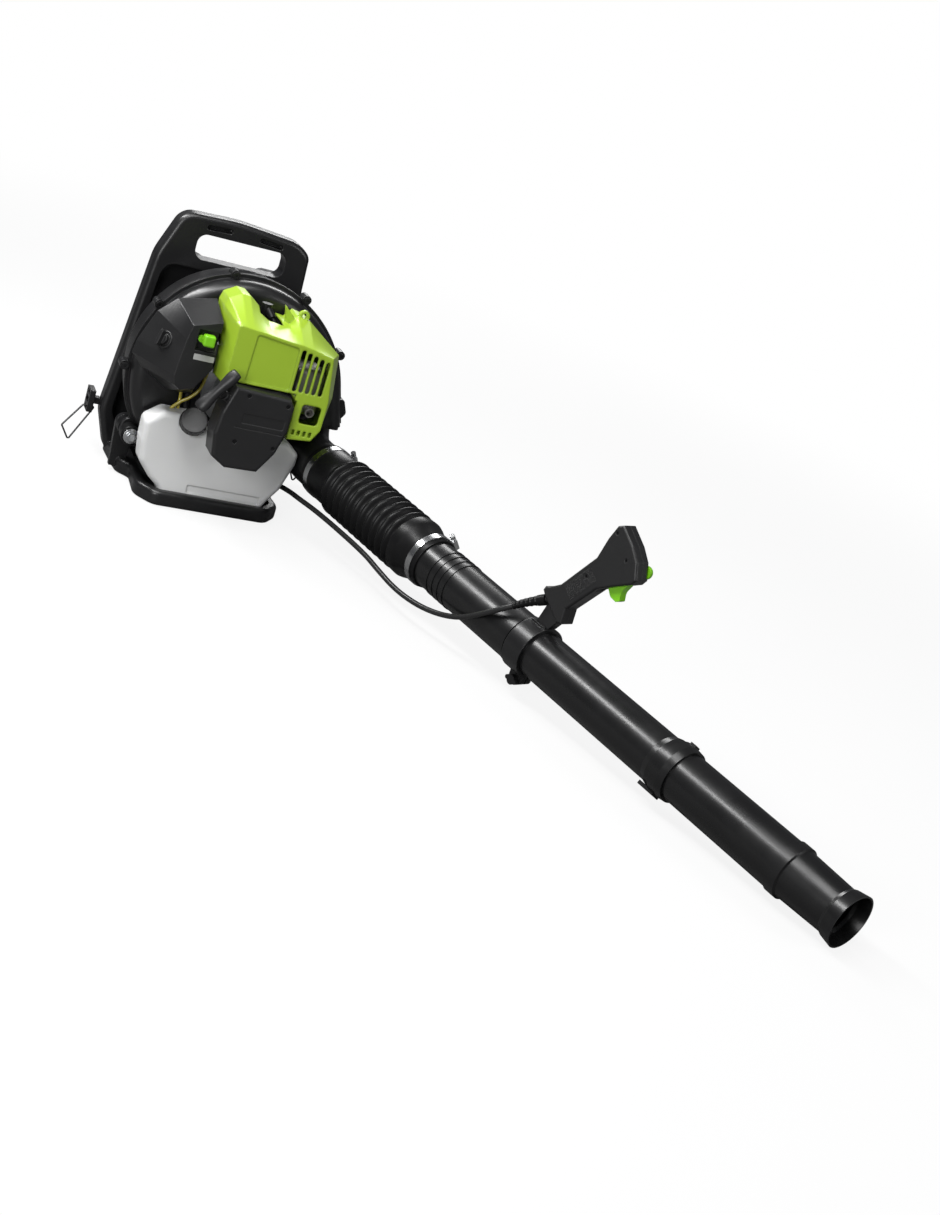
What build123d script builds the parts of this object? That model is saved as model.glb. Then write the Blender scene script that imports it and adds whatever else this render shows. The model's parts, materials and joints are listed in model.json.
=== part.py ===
from build123d import *
import math
import os

# A backpack leaf blower. Millimetres, +Z up, origin at the centre of the base's flat bottom.
# The engine faces -Y, the wearer's back is at +Y, and the blower tube leaves on the +X side.

# ---------------------------------------------------------------- frame
PANEL_BACK_Y = 125.0        # rear face of the back panel
PANEL_DEPTH = 37.0          # depth of its rolled side flanges
PANEL_WALL = 9.0
BASE_FRONT_Y = -130.0
BASE_HALF_WIDTH = 127.0     # beside the tank
BASE_HEIGHT = 26.0
TRAY_FLOOR = 8.0
TRAY_RIM = 14.0
GRIP_SLOT_LENGTH = 162.0    # carrying handle
GRIP_SLOT_HEIGHT = 45.0
GRIP_SLOT_Z = 406.0
PAD_THICKNESS = 24.0
BUCKLE_X = 193.0
SOFT_GAP = 0.3              # soft pieces stay this far from their neighbours

# ---------------------------------------------------------------- fan housing
CRANK_X = 10.0
CRANK_Z = 204.0
RIM_Y = -20.0               # parting plane of the two housing halves
VOLUTE_BACK_Y = 58.0
VOLUTE_FRONT_Y = -60.0
VOLUTE_WALL = 3.0
VOLUTE_EDGE = 20.0          # rounding of the housing's front and back edges
RIM_WIDTH = 7.0
RIM_THICKNESS = 5.0         # of each half
TONGUE_RADIUS = 108.0
SCROLL_RADIUS = 190.0
SCROLL_GROWTH = 3.4         # how quickly the scroll opens
SCROLL_SWEEP = 332.0
OUTLET_Z = 178.0            # bottom edge of the scroll's outlet
TONGUE_ANGLE = -math.degrees(math.asin((CRANK_Z - OUTLET_Z) / TONGUE_RADIUS))
BOSS_RADIUS = 8.0
BOSS_ANGLES = (29, 64, 103, 144, 180, 252)
INLET_RADIUS = 80.0
MOUNT_ANGLE = 216.8         # of the front isolator about the shaft
MOUNT_RADIUS = 17.0
MOUNT_CLEARANCE = 3.3       # between the front isolator and the scroll
MOUNT_BACK_Y = 12.0
MOUNT_FRONT_Y = -50.0
REAR_MOUNTS = ((-96, 284), (92, 284))
REAR_MOUNT_SEAT_Y = 92.0

# ---------------------------------------------------------------- impeller
FAN_RADIUS = 98.0
FAN_FRONT_Y = -44.0
FAN_BACK_Y = 34.0
FAN_PLATE = 3.0
BLADES = 14
BLADE_THICKNESS = 2.4
EYE_RADIUS = 62.0

# ---------------------------------------------------------------- engine
SHAFT_RADIUS = 7.5
RUNNING_FIT = 0.05
CASE_RADIUS = 44.0
CASE_FRONT_Y = -146.0
CASE_FLANGE_RADIUS = 62.0
CYLINDER_Y = -102.0
STROKE = 32.0
BORE_RADIUS = 22.0
CRANK_PIN_RADIUS = 6.0
WEB_RADIUS = 29.0
ROD_LENGTH = 60.0
FIN_X = 76.0
FIN_Y = 70.0
FIN_COUNT = 9
FIN_PITCH = 8.0
FIN_THICKNESS = 2.2
COVER_FRONT_Y = -190.0      # green engine cover
COVER_BEVEL_Y = -118.0      # where its sloping top ends
COVER_BACK_Y = -72.0
COVER_WALL = 3.0
STARTER_FRONT_Y = -210.0
STARTER_BACK_Y = -160.0
STARTER_WALL = 3.0
STARTER_COUNTERBORE = 6.0
STARTER_SCREWS = ((-10.4, 246), (58, 240.8), (-14.9, 164.9), (52, 164.9))
PULLEY_RADIUS = 26.0
PULLEY_POST_RADIUS = 5.0
ROPE_RADIUS = 1.8
FILTER_FRONT_Y = -150.0
FILTER_BACK_Y = -73.0

# ---------------------------------------------------------------- tank
TANK_FRONT_Y = -113.0
TANK_BACK_Y = -72.0
TANK_TOP = 148.0
NECK_RADIUS = 16.0
THREAD_CLEARANCE = 0.3
FUEL_LINE_RADIUS = 2.8
CAP_RADIUS = 23.5
CAP_HEIGHT = 15.0

# ---------------------------------------------------------------- blower tube
# Stations are distances along the tube's axis from the centre of the elbow's last bend.
BEND_CENTRE = Vector(163.6, -53.1, 119.0)
TUBE_YAW = 19.2             # degrees outward from straight ahead
MOUTH_STATION = 1321.0
MOUTH_RADIUS = 41.0
MOUTH_LIFT = 0.3            # rim of the mouth above the ground
ELBOW_X = 166.0
DUCT_RADIUS = 46.0
DUCT_WALL = 3.0
SPIGOT_RADIUS = 45.0
SPIGOT_END = 96.0
CUFF_START = 64.0
FIRST_RIDGE = 140.0
RIDGE_PITCH = 18.5
RIDGES = 11
RIDGE_RADIUS = 54.0
ROOT_RADIUS = 48.5
BELLOWS_BORE = 45.2
BELLOWS_END = 405.0
REAR_TUBE_RADIUS = 41.0
REAR_TUBE_START = 374.0
REAR_TUBE_END = 640.0
TUBE_RADIUS = 38.75         # middle and front tubes
TUBE_WALL = 2.0
SLIP = 0.3                  # clearance of one tube in the next
TUBE_OVERLAP = 40.0
COLLAR_END = 1005.0
COLLAR_RADIUS = 44.0
NOZZLE_START = 1205.0
NOZZLE_NECK_RADIUS = 35.3
NOZZLE_NECK_STATION = 1298.0
TUBE_END = 1218.0

# ---------------------------------------------------------------- control handle
CLAMP_START = 644.0
CLAMP_WIDTH = 37.0
CLAMP_WALL = 6.0
HANDLE_HALF = 14.0
CABLE_RADIUS = 4.5


# ---------------------------------------------------------------- helpers
def facing(y):
    """A plane at depth y whose drawing is seen from the engine side and grows towards it."""
    return Plane(origin=(0, y, 0), x_dir=(1, 0, 0), z_dir=(0, -1, 0))


def slab(sketch, back, front):
    """The sketch, drawn in X and Z, as a solid from depth back to depth front."""
    return extrude(facing(back) * sketch, amount=back - front)


def rounded(*corners):
    """A closed outline of (x, y, radius) corners as a face."""
    points = [corner[:2] for corner in corners]
    radii = [corner[2] for corner in corners]
    return make_face(FilletPolyline(*points, radius=radii, close=True))


def polygon(points):
    """A closed outline with sharp corners as a face."""
    return make_face(Polyline(*points, close=True))


def inset(points, amount):
    """The closed outline moved inward by amount, corner by corner."""
    moved = []
    area = sum(a[0] * b[1] - b[0] * a[1] for a, b in zip(points, points[1:] + points[:1]))
    turn = 1 if area > 0 else -1
    for before, here, after in zip(points[-1:] + points[:-1], points, points[1:] + points[:1]):
        first = Vector(here[0] - before[0], here[1] - before[1]).normalized()
        second = Vector(after[0] - here[0], after[1] - here[1]).normalized()
        normal_a = Vector(-first.Y, first.X) * turn
        normal_b = Vector(-second.Y, second.X) * turn
        middle = (normal_a + normal_b).normalized()
        reach = amount / max(0.4, middle.dot(normal_a))
        moved.append((here[0] + middle.X * reach, here[1] + middle.Y * reach))
    return moved


def cut_corner_loft(back_points, back_y, front_points, front_y):
    """A solid with flat facets between two outlines at two depths."""
    return loft([facing(back_y) * polygon(back_points), facing(front_y) * polygon(front_points)],
                ruled=True)


def rod(start, end, radius):
    """A round bar from start to end."""
    line = Vector(*end) - Vector(*start)
    plane = Plane(origin=start, z_dir=line)
    return extrude(plane * Circle(radius), amount=line.length)


def ring(start, end, outer, inner):
    """A round sleeve from start to end."""
    line = Vector(*end) - Vector(*start)
    plane = Plane(origin=start, z_dir=line)
    return extrude(plane * (Circle(outer) - Circle(inner)), amount=line.length)


def screw(seat, inward, head_radius=4.5, head_height=4.0, shank_radius=2.0, length=14.0):
    """A pan-head screw whose head sits on seat and whose shank points inward."""
    seat, inward = Vector(*seat), Vector(*inward).normalized()
    head = rod(seat - inward * head_height, seat, head_radius)
    socket = rod(seat - inward * head_height, seat - inward * (head_height - 2.2), head_radius * 0.5)
    return head - socket + rod(seat, seat + inward * length, shank_radius)


def routed(name, points, radius):
    """A cord of round section along straight runs joined by the widest arcs that fit."""
    points = [Vector(*p) for p in points]
    radii = []
    for before, here, after in zip(points, points[1:], points[2:]):
        turn = (here - before).get_angle(after - here)
        shorter = min((here - before).length, (after - here).length)
        radii.append(0.45 * shorter / math.tan(math.radians(turn / 2)))
    path = FilletPolyline(*points, radius=radii)
    cord = sweep(Plane(origin=path @ 0, z_dir=path % 0) * Circle(radius), path=path)
    share = cord.volume / (math.pi * radius ** 2 * path.length)
    print(name, "radii", [round(r) for r in radii], "length", round(path.length), "volume ratio", round(share, 4))
    return cord


def group(solids):
    """Separate solids as one node."""
    return Compound([piece for solid in solids for piece in solid.solids()])


def polar(angle, radius):
    """X and Z of a point at this angle and distance from the crankshaft axis."""
    turn = math.radians(angle)
    return (CRANK_X + radius * math.cos(turn), CRANK_Z + radius * math.sin(turn))


def on_crank(y):
    """The crankshaft axis at depth y."""
    return (CRANK_X, y, CRANK_Z)


# ---------------------------------------------------------------- the tube's own frame
reach = math.hypot(MOUTH_STATION, MOUTH_RADIUS)
TUBE_DROP = math.asin((BEND_CENTRE.Z - MOUTH_LIFT) / reach) - math.atan2(MOUTH_RADIUS, MOUTH_STATION)
yaw = math.radians(TUBE_YAW)
AXIS = Vector(math.sin(yaw) * math.cos(TUBE_DROP), -math.cos(yaw) * math.cos(TUBE_DROP), -math.sin(TUBE_DROP))
SIDE = Vector(-math.cos(yaw), -math.sin(yaw), 0)      # level, towards the engine
UP = SIDE.cross(AXIS)
ALONG = Plane(origin=BEND_CENTRE, x_dir=UP, z_dir=AXIS)          # revolved pieces
UPRIGHT = Plane(origin=BEND_CENTRE, x_dir=AXIS, z_dir=SIDE)      # drawn as (station, height)


def station(s, height=0.0, side=0.0):
    """The point at station s, at a height over the axis and a distance towards the engine."""
    return BEND_CENTRE + AXIS * s + UP * height + SIDE * side


def turned(*profile):
    """The (station, radius) outline revolved about the tube's axis."""
    face = make_face(Polyline(*[(radius, 0, s) for s, radius in profile], close=True))
    return ALONG.location * revolve(face, axis=Axis.Z)


parts = {}


# ---------------------------------------------------------------- frame and harness
def make_frame():
    """Back panel with carrying handle, and the base tray, as one moulding."""
    outline = rounded((-152, 0, 30), (-178, 80, 60), (-147, 378, 90), (-116, 458, 34), (-15, 462, 300),
                      (98, 452, 60), (121, 432, 20), (124, 368, 60), (178, 80, 60), (152, 0, 30))
    front_y = PANEL_BACK_Y - PANEL_DEPTH
    panel = slab(outline, PANEL_BACK_Y, front_y)
    panel = fillet(panel.faces().sort_by(Axis.Y)[0].edges(), 9)
    panel = fillet(panel.faces().sort_by(Axis.Y)[-1].edges(), 6)
    pocket = rounded((-132, 30, 20), (-158, 84, 40), (-130, 366, 26), (102, 366, 26), (158, 84, 40), (132, 30, 20))
    panel -= slab(pocket, PANEL_BACK_Y - PANEL_WALL, front_y - 1)
    slot = Pos(-2, GRIP_SLOT_Z) * RectangleRounded(GRIP_SLOT_LENGTH, GRIP_SLOT_HEIGHT, 17)
    panel -= slab(slot, PANEL_BACK_Y + 1, front_y - 1)
    for x, z, length, tilt in ((-49, 442.5, 46, 3), (46, 439.5, 44, -6)):
        pocket = Pos(x, z) * Rot(0, 0, tilt) * SlotOverall(length, 9)
        panel -= slab(pocket, front_y + 14, front_y - 1)

    half = BASE_HALF_WIDTH
    side = [(half - 25, BASE_FRONT_Y, 26), (half + 3, BASE_FRONT_Y + 38, 40), (half - 1, -18, 22), (146, 4, 26),
            (150, 40, 60), (153, PANEL_BACK_Y - 16, 14), (140, PANEL_BACK_Y, 10)]
    outline = rounded(*side, *[(-x, y, r) for x, y, r in reversed(side)])
    tray = extrude(outline, amount=BASE_HEIGHT)
    tray = fillet(tray.faces().sort_by(Axis.Z)[-1].edges(), 8)
    tray = fillet(tray.faces().sort_by(Axis.Z)[0].edges(), 5)
    inner = half - TRAY_RIM
    well = rounded((inner - 20, BASE_FRONT_Y + TRAY_RIM, 14), (inner, BASE_FRONT_Y + 40, 30), (inner, 84, 10),
                   (-inner, 84, 10), (-inner, BASE_FRONT_Y + 40, 30), (-inner + 20, BASE_FRONT_Y + TRAY_RIM, 14))
    tray -= Pos(0, 0, TRAY_FLOOR) * extrude(well, amount=BASE_HEIGHT)

    frame = panel + tray
    # bracket of the front left isolator, and the two rear isolator bosses
    x, z = front_mount()
    post = polygon([(x - 12, TRAY_FLOOR), (x - 17, z), (x + 17, z), (x + 15, TRAY_FLOOR)])
    frame += slab(Pos(x, z) * Circle(MOUNT_RADIUS) + post, MOUNT_BACK_Y + 12, MOUNT_BACK_Y)
    for x, z in REAR_MOUNTS:
        frame += rod((x, PANEL_BACK_Y - PANEL_WALL, z), (x, REAR_MOUNT_SEAT_Y, z), 22)
    return frame


def front_mount():
    """X and Z of the isolator beside the scroll, clear of its wall."""
    wall = scroll_radius((TONGUE_ANGLE - MOUNT_ANGLE) % 360)
    return polar(MOUNT_ANGLE, wall + MOUNT_RADIUS + MOUNT_CLEARANCE)


def make_isolators():
    """The rubber blocks that carry the engine and fan on the frame, the front one in two halves."""
    x, z = front_mount()
    blocks = [rod((x, MOUNT_BACK_Y, z), (x, RIM_Y + RIM_THICKNESS, z), MOUNT_RADIUS),
              rod((x, RIM_Y - RIM_THICKNESS, z), (x, MOUNT_FRONT_Y, z), MOUNT_RADIUS)]
    for x, z in REAR_MOUNTS:
        blocks.append(rod((x, REAR_MOUNT_SEAT_Y, z), (x, VOLUTE_BACK_Y, z), MOUNT_RADIUS))
    return group([fillet(b.edges(), 3) for b in blocks])


def make_harness():
    """Back pad, two shoulder straps, their buckles and the pull rings."""
    pad = Pos(0, PANEL_BACK_Y + SOFT_GAP + PAD_THICKNESS / 2, 217) * Box(220, PAD_THICKNESS, 266)
    pad = fillet(pad.edges(), 10)
    straps, buckles, rings = [], [], []
    for hand in (-1, 1):
        path = FilletPolyline((0, PANEL_BACK_Y + SOFT_GAP, 374), (0, 178, 374), (0, 188, 290), (0, 176, 150),
                              (0, 160, 62), (0, PANEL_BACK_Y + SOFT_GAP, 62), radius=[26, 60, 60, 24])
        section = Plane(origin=path @ 0, z_dir=path % 0, x_dir=(1, 0, 0)) * Rectangle(58, 9)
        straps.append(Pos(hand * 78, 0, 0) * sweep(section, path=path))
        # ladder buckle beside the frame's lower corner, with a wire ring hung on its lowest bar
        x = hand * BUCKLE_X
        loop = Box(10, 34, 40)
        for height, opening in ((14, 6), (0, 11), (-14, 6)):
            loop -= Pos(0, 0, height) * Box(11, 24, opening)
        tab = Pos(hand * (BUCKLE_X - 10), 118, 88) * Box(12.6, 14, 12)
        buckles.append(Pos(x, 118, 88) * loop + tab)
        corners = [(x + hand * out, 118, z) for out, z in ((-11, 74.5), (9, 74.5), (38, 30), (22, 5))]
        wire = FilletPolyline(*corners, radius=[2.5] * 4, close=True)
        rings.append(sweep(Plane(origin=wire @ 0, z_dir=wire % 0) * Circle(1.6), path=wire))
    return {"back_pad": pad, "shoulder_straps": group(straps), "strap_buckles": group(buckles),
            "strap_rings": group(rings)}


# ---------------------------------------------------------------- fan housing
def scroll_radius(angle_from_tongue):
    """Distance of the scroll's wall from the shaft, this many degrees past the tongue."""
    share = angle_from_tongue / (360 + TONGUE_ANGLE)
    return TONGUE_RADIUS + (SCROLL_RADIUS - TONGUE_RADIUS) * (1 - (1 - share) ** SCROLL_GROWTH)


def housing_solid(inward, back, front, ease=None, edge=VOLUTE_EDGE):
    """Scroll and outlet chute as one solid, moved inward by a wall, its front and back edges eased."""
    steps = 7
    sweeps = [SCROLL_SWEEP * (i / steps) ** 1.4 for i in range(steps + 1)]
    points = [polar(TONGUE_ANGLE - swept, scroll_radius(swept) - inward) for swept in sweeps]
    heading = Vector(*points[1]) - Vector(*points[0])
    first = heading.rotate(Axis.Z, sweeps[1] / 2)
    arcs = []
    for start, end in zip(points, points[1:]):
        arcs.append(TangentArc(start, end, tangent=arcs[-1] % 1 if arcs else first))
    drum = slab(make_face(arcs + [Line(points[-1], points[0])]), back, front)
    down = arcs[-1] % 1
    end = Vector(*points[-1])
    foot = end + down * ((OUTLET_Z - end.Y) / down.Y)
    across = end + Vector(down.Y, -down.X) * 60
    chute = slab(polygon([(116 + inward, OUTLET_Z), foot, end, across, (116 + inward, across.Y)]), back, front)
    if ease:
        drum = ease([e for e in drum.edges() if e.geom_type == GeomType.CIRCLE], edge)
        side = (end - foot).length
        chute = ease([e for e in chute.edges() if abs(e.length - side) < 0.01], edge)
    return drum + chute


def make_volute():
    """The two housing halves with their rim, screw bosses, inlet and outlet."""
    body = housing_solid(0, VOLUTE_BACK_Y, VOLUTE_FRONT_Y, fillet)
    hollow = housing_solid(VOLUTE_WALL, VOLUTE_BACK_Y - VOLUTE_WALL, VOLUTE_FRONT_Y + VOLUTE_WALL,
                           chamfer, VOLUTE_EDGE - VOLUTE_WALL)
    body += housing_solid(-RIM_WIDTH, RIM_Y + RIM_THICKNESS, RIM_Y - RIM_THICKNESS)
    for angle in BOSS_ANGLES:
        x, z = boss_place(angle)
        body += rod((x, RIM_Y + 12, z), (x, RIM_Y - 12, z), BOSS_RADIUS)
    x, z = front_mount()
    lug = rounded((x - 18, z - 12, 10), (x - 12, z + 18, 12), (x + 50, z + 60, 5), (x + 60, z - 8, 5))
    body += slab(lug, RIM_Y + RIM_THICKNESS, RIM_Y - RIM_THICKNESS)
    right = CRANK_X + SCROLL_RADIUS
    side_lug = rounded((right - 12, 188, 4), (right - 12, 222, 4), (right + 14, 224, 6), (right + 24, 200, 8),
                       (right + 14, 184, 6))
    body += slab(side_lug, RIM_Y + 16, RIM_Y - 14)
    body -= hollow
    body -= Pos(ELBOW_X, 0, OUTLET_Z - 35) * Box(98, 240, 70)
    outlet = Pos(ELBOW_X, 0, OUTLET_Z) * Cylinder(DUCT_RADIUS - DUCT_WALL, 12)
    body -= outlet
    body -= rod(on_crank(VOLUTE_BACK_Y + 1), on_crank(VOLUTE_BACK_Y - 5), INLET_RADIUS)
    body -= rod(on_crank(VOLUTE_FRONT_Y - 1), on_crank(VOLUTE_FRONT_Y + 5), 26)
    for angle in BOSS_ANGLES:
        x, z = boss_place(angle)
        body -= rod((x, RIM_Y + 8, z), (x, RIM_Y - 13, z), 2.7)
    half_space = Pos(0, RIM_Y + 300, CRANK_Z) * Box(900, 600, 900)
    return body & half_space, body - half_space


def boss_place(angle):
    """Centre of the screw boss at this angle."""
    return polar(angle, scroll_radius((TONGUE_ANGLE - angle) % 360) + 9)


def make_inlet_guard():
    """Round grille over the fan's inlet: rings on eight spokes, in a flanged rim."""
    back, front = VOLUTE_BACK_Y + 8, VOLUTE_BACK_Y
    guard = ring(on_crank(front), on_crank(back), INLET_RADIUS + 8, INLET_RADIUS)
    for radius in (20, 36, 52, 68):
        guard += ring(on_crank(front + 3), on_crank(back), radius + 1.5, radius - 1.5)
    for i in range(8):
        spoke = Pos(CRANK_X, (front + back) / 2 + 1.5, CRANK_Z) * Rot(0, 22.5 + 45 * i, 0) * \
            Pos(50, 0, 0) * Box(62, 5, 3)
        guard += spoke
    return guard


def make_impeller():
    """Backward-curved centrifugal fan wheel: hub, back plate, blades and shroud ring."""
    plate_back = FAN_FRONT_Y + FAN_PLATE
    shroud_front = FAN_BACK_Y - FAN_PLATE
    wheel = rod(on_crank(FAN_FRONT_Y), on_crank(plate_back), FAN_RADIUS)
    wheel += rod(on_crank(plate_back), on_crank(plate_back + 34), 20)
    wheel += ring(on_crank(shroud_front), on_crank(FAN_BACK_Y), FAN_RADIUS, EYE_RADIUS)
    inner, outer = 44.0, FAN_RADIUS - 2
    outer_edge = ThreePointArc((inner, 0), (0.72 * outer, 9), (outer * math.cos(0.42), outer * math.sin(0.42)))
    inner_edge = outer_edge.moved(Location((0, -BLADE_THICKNESS, 0)))
    blade = make_face([outer_edge, inner_edge, Line(outer_edge @ 0, inner_edge @ 0), Line(outer_edge @ 1, inner_edge @ 1)])
    for i in range(BLADES):
        placed = Pos(CRANK_X, CRANK_Z) * Rot(0, 0, 360 * i / BLADES) * blade
        wheel += slab(placed, shroud_front, plate_back)
    bore = rod(on_crank(FAN_FRONT_Y - 1), on_crank(plate_back + 30), SHAFT_RADIUS)
    return wheel - bore


def elbow_path():
    """Centre line of the duct from the scroll's outlet to its spigot."""
    return FilletPolyline((ELBOW_X, 0, OUTLET_Z - 2), (ELBOW_X, 0, BEND_CENTRE.Z - 1), station(30),
                          station(SPIGOT_END), radius=[54, 60])


def make_elbow():
    """The duct that turns the air from the scroll's outlet forward into the tube."""
    path = elbow_path()
    start = Plane(origin=path @ 0, z_dir=path % 0)
    outer = sweep(start * Circle(DUCT_RADIUS - 1), path=path)
    inner = sweep(start * Circle(DUCT_RADIUS - DUCT_WALL - 1), path=path)
    flange = Pos(ELBOW_X, 0, OUTLET_Z - 3) * Box(94, 112, 6)
    flange = fillet(flange.edges().filter_by(Axis.Z), 12)
    mouth = Pos(ELBOW_X, 0, OUTLET_Z - 3) * Cylinder(DUCT_RADIUS - DUCT_WALL - 1, 7)
    return outer + flange - inner - mouth


# ---------------------------------------------------------------- engine
def make_bottom_end():
    """Crankcase, its two bearings, crankshaft and flywheel."""
    x, z = CRANK_X, CRANK_Z
    front_web, back_web = CYLINDER_Y - 17, CYLINDER_Y + 7
    case = rod(on_crank(VOLUTE_FRONT_Y - 6), on_crank(CASE_FRONT_Y), CASE_RADIUS)
    case += rod(on_crank(VOLUTE_FRONT_Y), on_crank(VOLUTE_FRONT_Y - 6), CASE_FLANGE_RADIUS)
    deck = Pos(x, CYLINDER_Y, z + CASE_RADIUS - 10) * Box(72, 70, 20)
    case += fillet(deck.edges().filter_by(Axis.Z), 8)
    # front plate that carries the starter housing
    case += slab(polygon(inset(STARTER_OUTLINE, 5)), CASE_FRONT_Y, STARTER_BACK_Y)
    case += Pos(x + 32, (CASE_FRONT_Y + STARTER_BACK_Y) / 2, z + 43) * Box(28, 14, 14)
    case -= rod(on_crank(CASE_FRONT_Y - 1), on_crank(STARTER_BACK_Y - 1), FLYWHEEL_RADIUS + 3)
    case -= rod(on_crank(back_web + 13), on_crank(front_web - 3), WEB_RADIUS + 4)
    case -= rod(on_crank(VOLUTE_FRONT_Y + 1), on_crank(CASE_FRONT_Y - 1), SHAFT_RADIUS + 1.5)
    case -= rod((x, CYLINDER_Y, z), (x, CYLINDER_Y, z + CASE_RADIUS + 1), BORE_RADIUS + 3)
    bearings = []
    for start, end in ((VOLUTE_FRONT_Y - 8, VOLUTE_FRONT_Y - 19), (front_web - 4, front_web - 15)):
        case -= rod(on_crank(start), on_crank(end), 17)
        bearings.append(ring(on_crank(start), on_crank(end), 17, SHAFT_RADIUS + RUNNING_FIT))

    throw = STROKE / 2
    shaft = rod(on_crank(FAN_FRONT_Y + 32), on_crank(back_web + 10), SHAFT_RADIUS)
    shaft += rod(on_crank(back_web + 10), on_crank(back_web), WEB_RADIUS)
    shaft += rod(on_crank(front_web), on_crank(front_web + 10), WEB_RADIUS)
    shaft += rod((x, back_web, z + throw), (x, front_web + 10, z + throw), CRANK_PIN_RADIUS)
    shaft += rod(on_crank(front_web), on_crank(FLYWHEEL_FRONT_Y - 4), SHAFT_RADIUS)

    wheel = rod(on_crank(FLYWHEEL_BACK_Y), on_crank(FLYWHEEL_FRONT_Y), FLYWHEEL_RADIUS)
    wheel -= ring(on_crank(FLYWHEEL_FRONT_Y + 9), on_crank(FLYWHEEL_FRONT_Y - 1), FLYWHEEL_RADIUS - 6, 14)
    for i in range(12):
        wheel += Pos(x, FLYWHEEL_FRONT_Y + 4, z) * Rot(0, 30 * i, 0) * Pos(24, 0, 0) * Box(22, 8, 2)
    wheel -= rod(on_crank(FLYWHEEL_BACK_Y + 1), on_crank(FLYWHEEL_FRONT_Y - 1), SHAFT_RADIUS)
    return {"crankcase": case, "main_bearings": group(bearings), "crankshaft": shaft, "flywheel": wheel}


FLYWHEEL_BACK_Y = -150.0
FLYWHEEL_FRONT_Y = -168.0
FLYWHEEL_RADIUS = 38.0
STARTER_OUTLINE = [(-34, 257), (62, 253), (70, 240), (70, 196), (58, 154), (36, 118), (-20, 116), (-46, 132),
                   (-52, 172), (-48, 210)]


BOOT_ARM = Vector(0.40, -0.72, -0.57).normalized()
BOOT_END = Vector(CRANK_X, CYLINDER_Y, 372) + BOOT_ARM * 24


def make_top_end():
    """Finned cylinder, piston, connecting rod and spark plug."""
    x, y = CRANK_X, CYLINDER_Y
    deck = CRANK_Z + CASE_RADIUS
    first_fin = deck + 16
    top = first_fin + (FIN_COUNT - 1) * FIN_PITCH + 4
    barrel = Pos(x, y, deck + 3) * Box(70, 66, 6) + rod((x, y, deck), (x, y, top), BORE_RADIUS + 6)
    for i in range(FIN_COUNT):
        fin = Pos(x, y, first_fin + i * FIN_PITCH) * Box(FIN_X, FIN_Y, FIN_THICKNESS)
        barrel += fillet(fin.edges().filter_by(Axis.Z), 14)
    port_z = deck + 34
    barrel += Pos(x + FIN_X / 2 - 8, y, port_z) * Box(24, 34, 30)
    barrel += Pos(x - FIN_X / 2 + 8, y, port_z) * Box(24, 30, 26)
    barrel -= rod((x, y, deck - 1), (x, y, top - 10), BORE_RADIUS)
    barrel -= rod((x, y, port_z), (x + FIN_X, y, port_z), 10)
    barrel -= rod((x, y, port_z), (x - FIN_X, y, port_z), 8)
    barrel -= rod((x, y, top - 11), (x, y, top + 1), 7)

    # the big end stops above the crank pin's path: the linkage is opened there
    wrist_z = CRANK_Z + STROKE / 2 + CRANK_PIN_RADIUS + 14 + ROD_LENGTH
    piston = rod((x, y, wrist_z - 12), (x, y, wrist_z + 16), BORE_RADIUS - 0.1)
    piston -= rod((x, y, wrist_z - 13), (x, y, wrist_z + 10), BORE_RADIUS - 4)
    piston += rod((x, y - 19, wrist_z), (x, y + 19, wrist_z), 5)
    link = rod((x, y - 6, wrist_z), (x, y + 6, wrist_z), 9)
    link += rod((x, y - 6, wrist_z - ROD_LENGTH), (x, y + 6, wrist_z - ROD_LENGTH), 12)
    link += Pos(x, y, wrist_z - ROD_LENGTH / 2) * Box(8, 6, ROD_LENGTH - 12)
    link -= rod((x, y - 7, wrist_z), (x, y + 7, wrist_z), 5)
    link -= rod((x, y - 7, wrist_z - ROD_LENGTH), (x, y + 7, wrist_z - ROD_LENGTH), CRANK_PIN_RADIUS + 0.2)

    plug = rod((x, y, top - 10), (x, y, top), 7)
    plug += rod((x, y, top), (x, y, top + 9), 10) + rod((x, y, top + 9), (x, y, top + 28), 5)
    boot = rod((x, y, top + 12), (x, y, top + 46), 9) + rod((x, y, top + 40), BOOT_END, 6.5)
    boot = boot - rod((x, y, top + 11), (x, y, top + 28), 5)
    return {"cylinder": barrel, "piston": piston, "connecting_rod": link, "spark_plug": plug, "plug_boot": boot}


def make_ignition():
    """Ignition coil beside the flywheel and its lead up to the plug boot."""
    x, y, z = CRANK_X + 32, -152, CRANK_Z + 50
    coil = Pos(x, y, z + 11) * Box(24, 12, 22)
    lead = routed("plug lead", [(x, y, z + 22), (x, y, z + 46), (x, y - 2, z + 68), BOOT_END + BOOT_ARM * 24,
                                BOOT_END], 3)
    return {"ignition_coil": coil, "plug_lead": lead}


# ---------------------------------------------------------------- intake side
CARB_X = -66.0
CARB_Z = 282.0
FILTER_BACK = [(-130, 346), (-67, 360), (-66, 290), (-66, 240), (-68, 190), (-113, 188), (-163, 220), (-183, 240),
               (-180, 262), (-158, 318)]
FILTER_FRONT = [(-113, 325), (-66, 340), (-66, 290), (-66, 258), (-88, 222), (-110, 215), (-120, 222),
                (-124, 236), (-122, 262), (-118, 300)]
CHOKE_PIVOT = (-94, 306)
FACET_CORNER = Vector(-180, FILTER_BACK_Y, 262)      # on the cover's sloping left side
FACET_DOWN = Vector(58, FILTER_FRONT_Y - FILTER_BACK_Y, 0)
FACET_UP = Vector(22, 0, 56)
KNOB_AXIS = FACET_DOWN.cross(FACET_UP).normalized()
KNOB_SEAT = FACET_CORNER + FACET_DOWN * 0.515 + FACET_UP * 0.365 + KNOB_AXIS * 5


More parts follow.
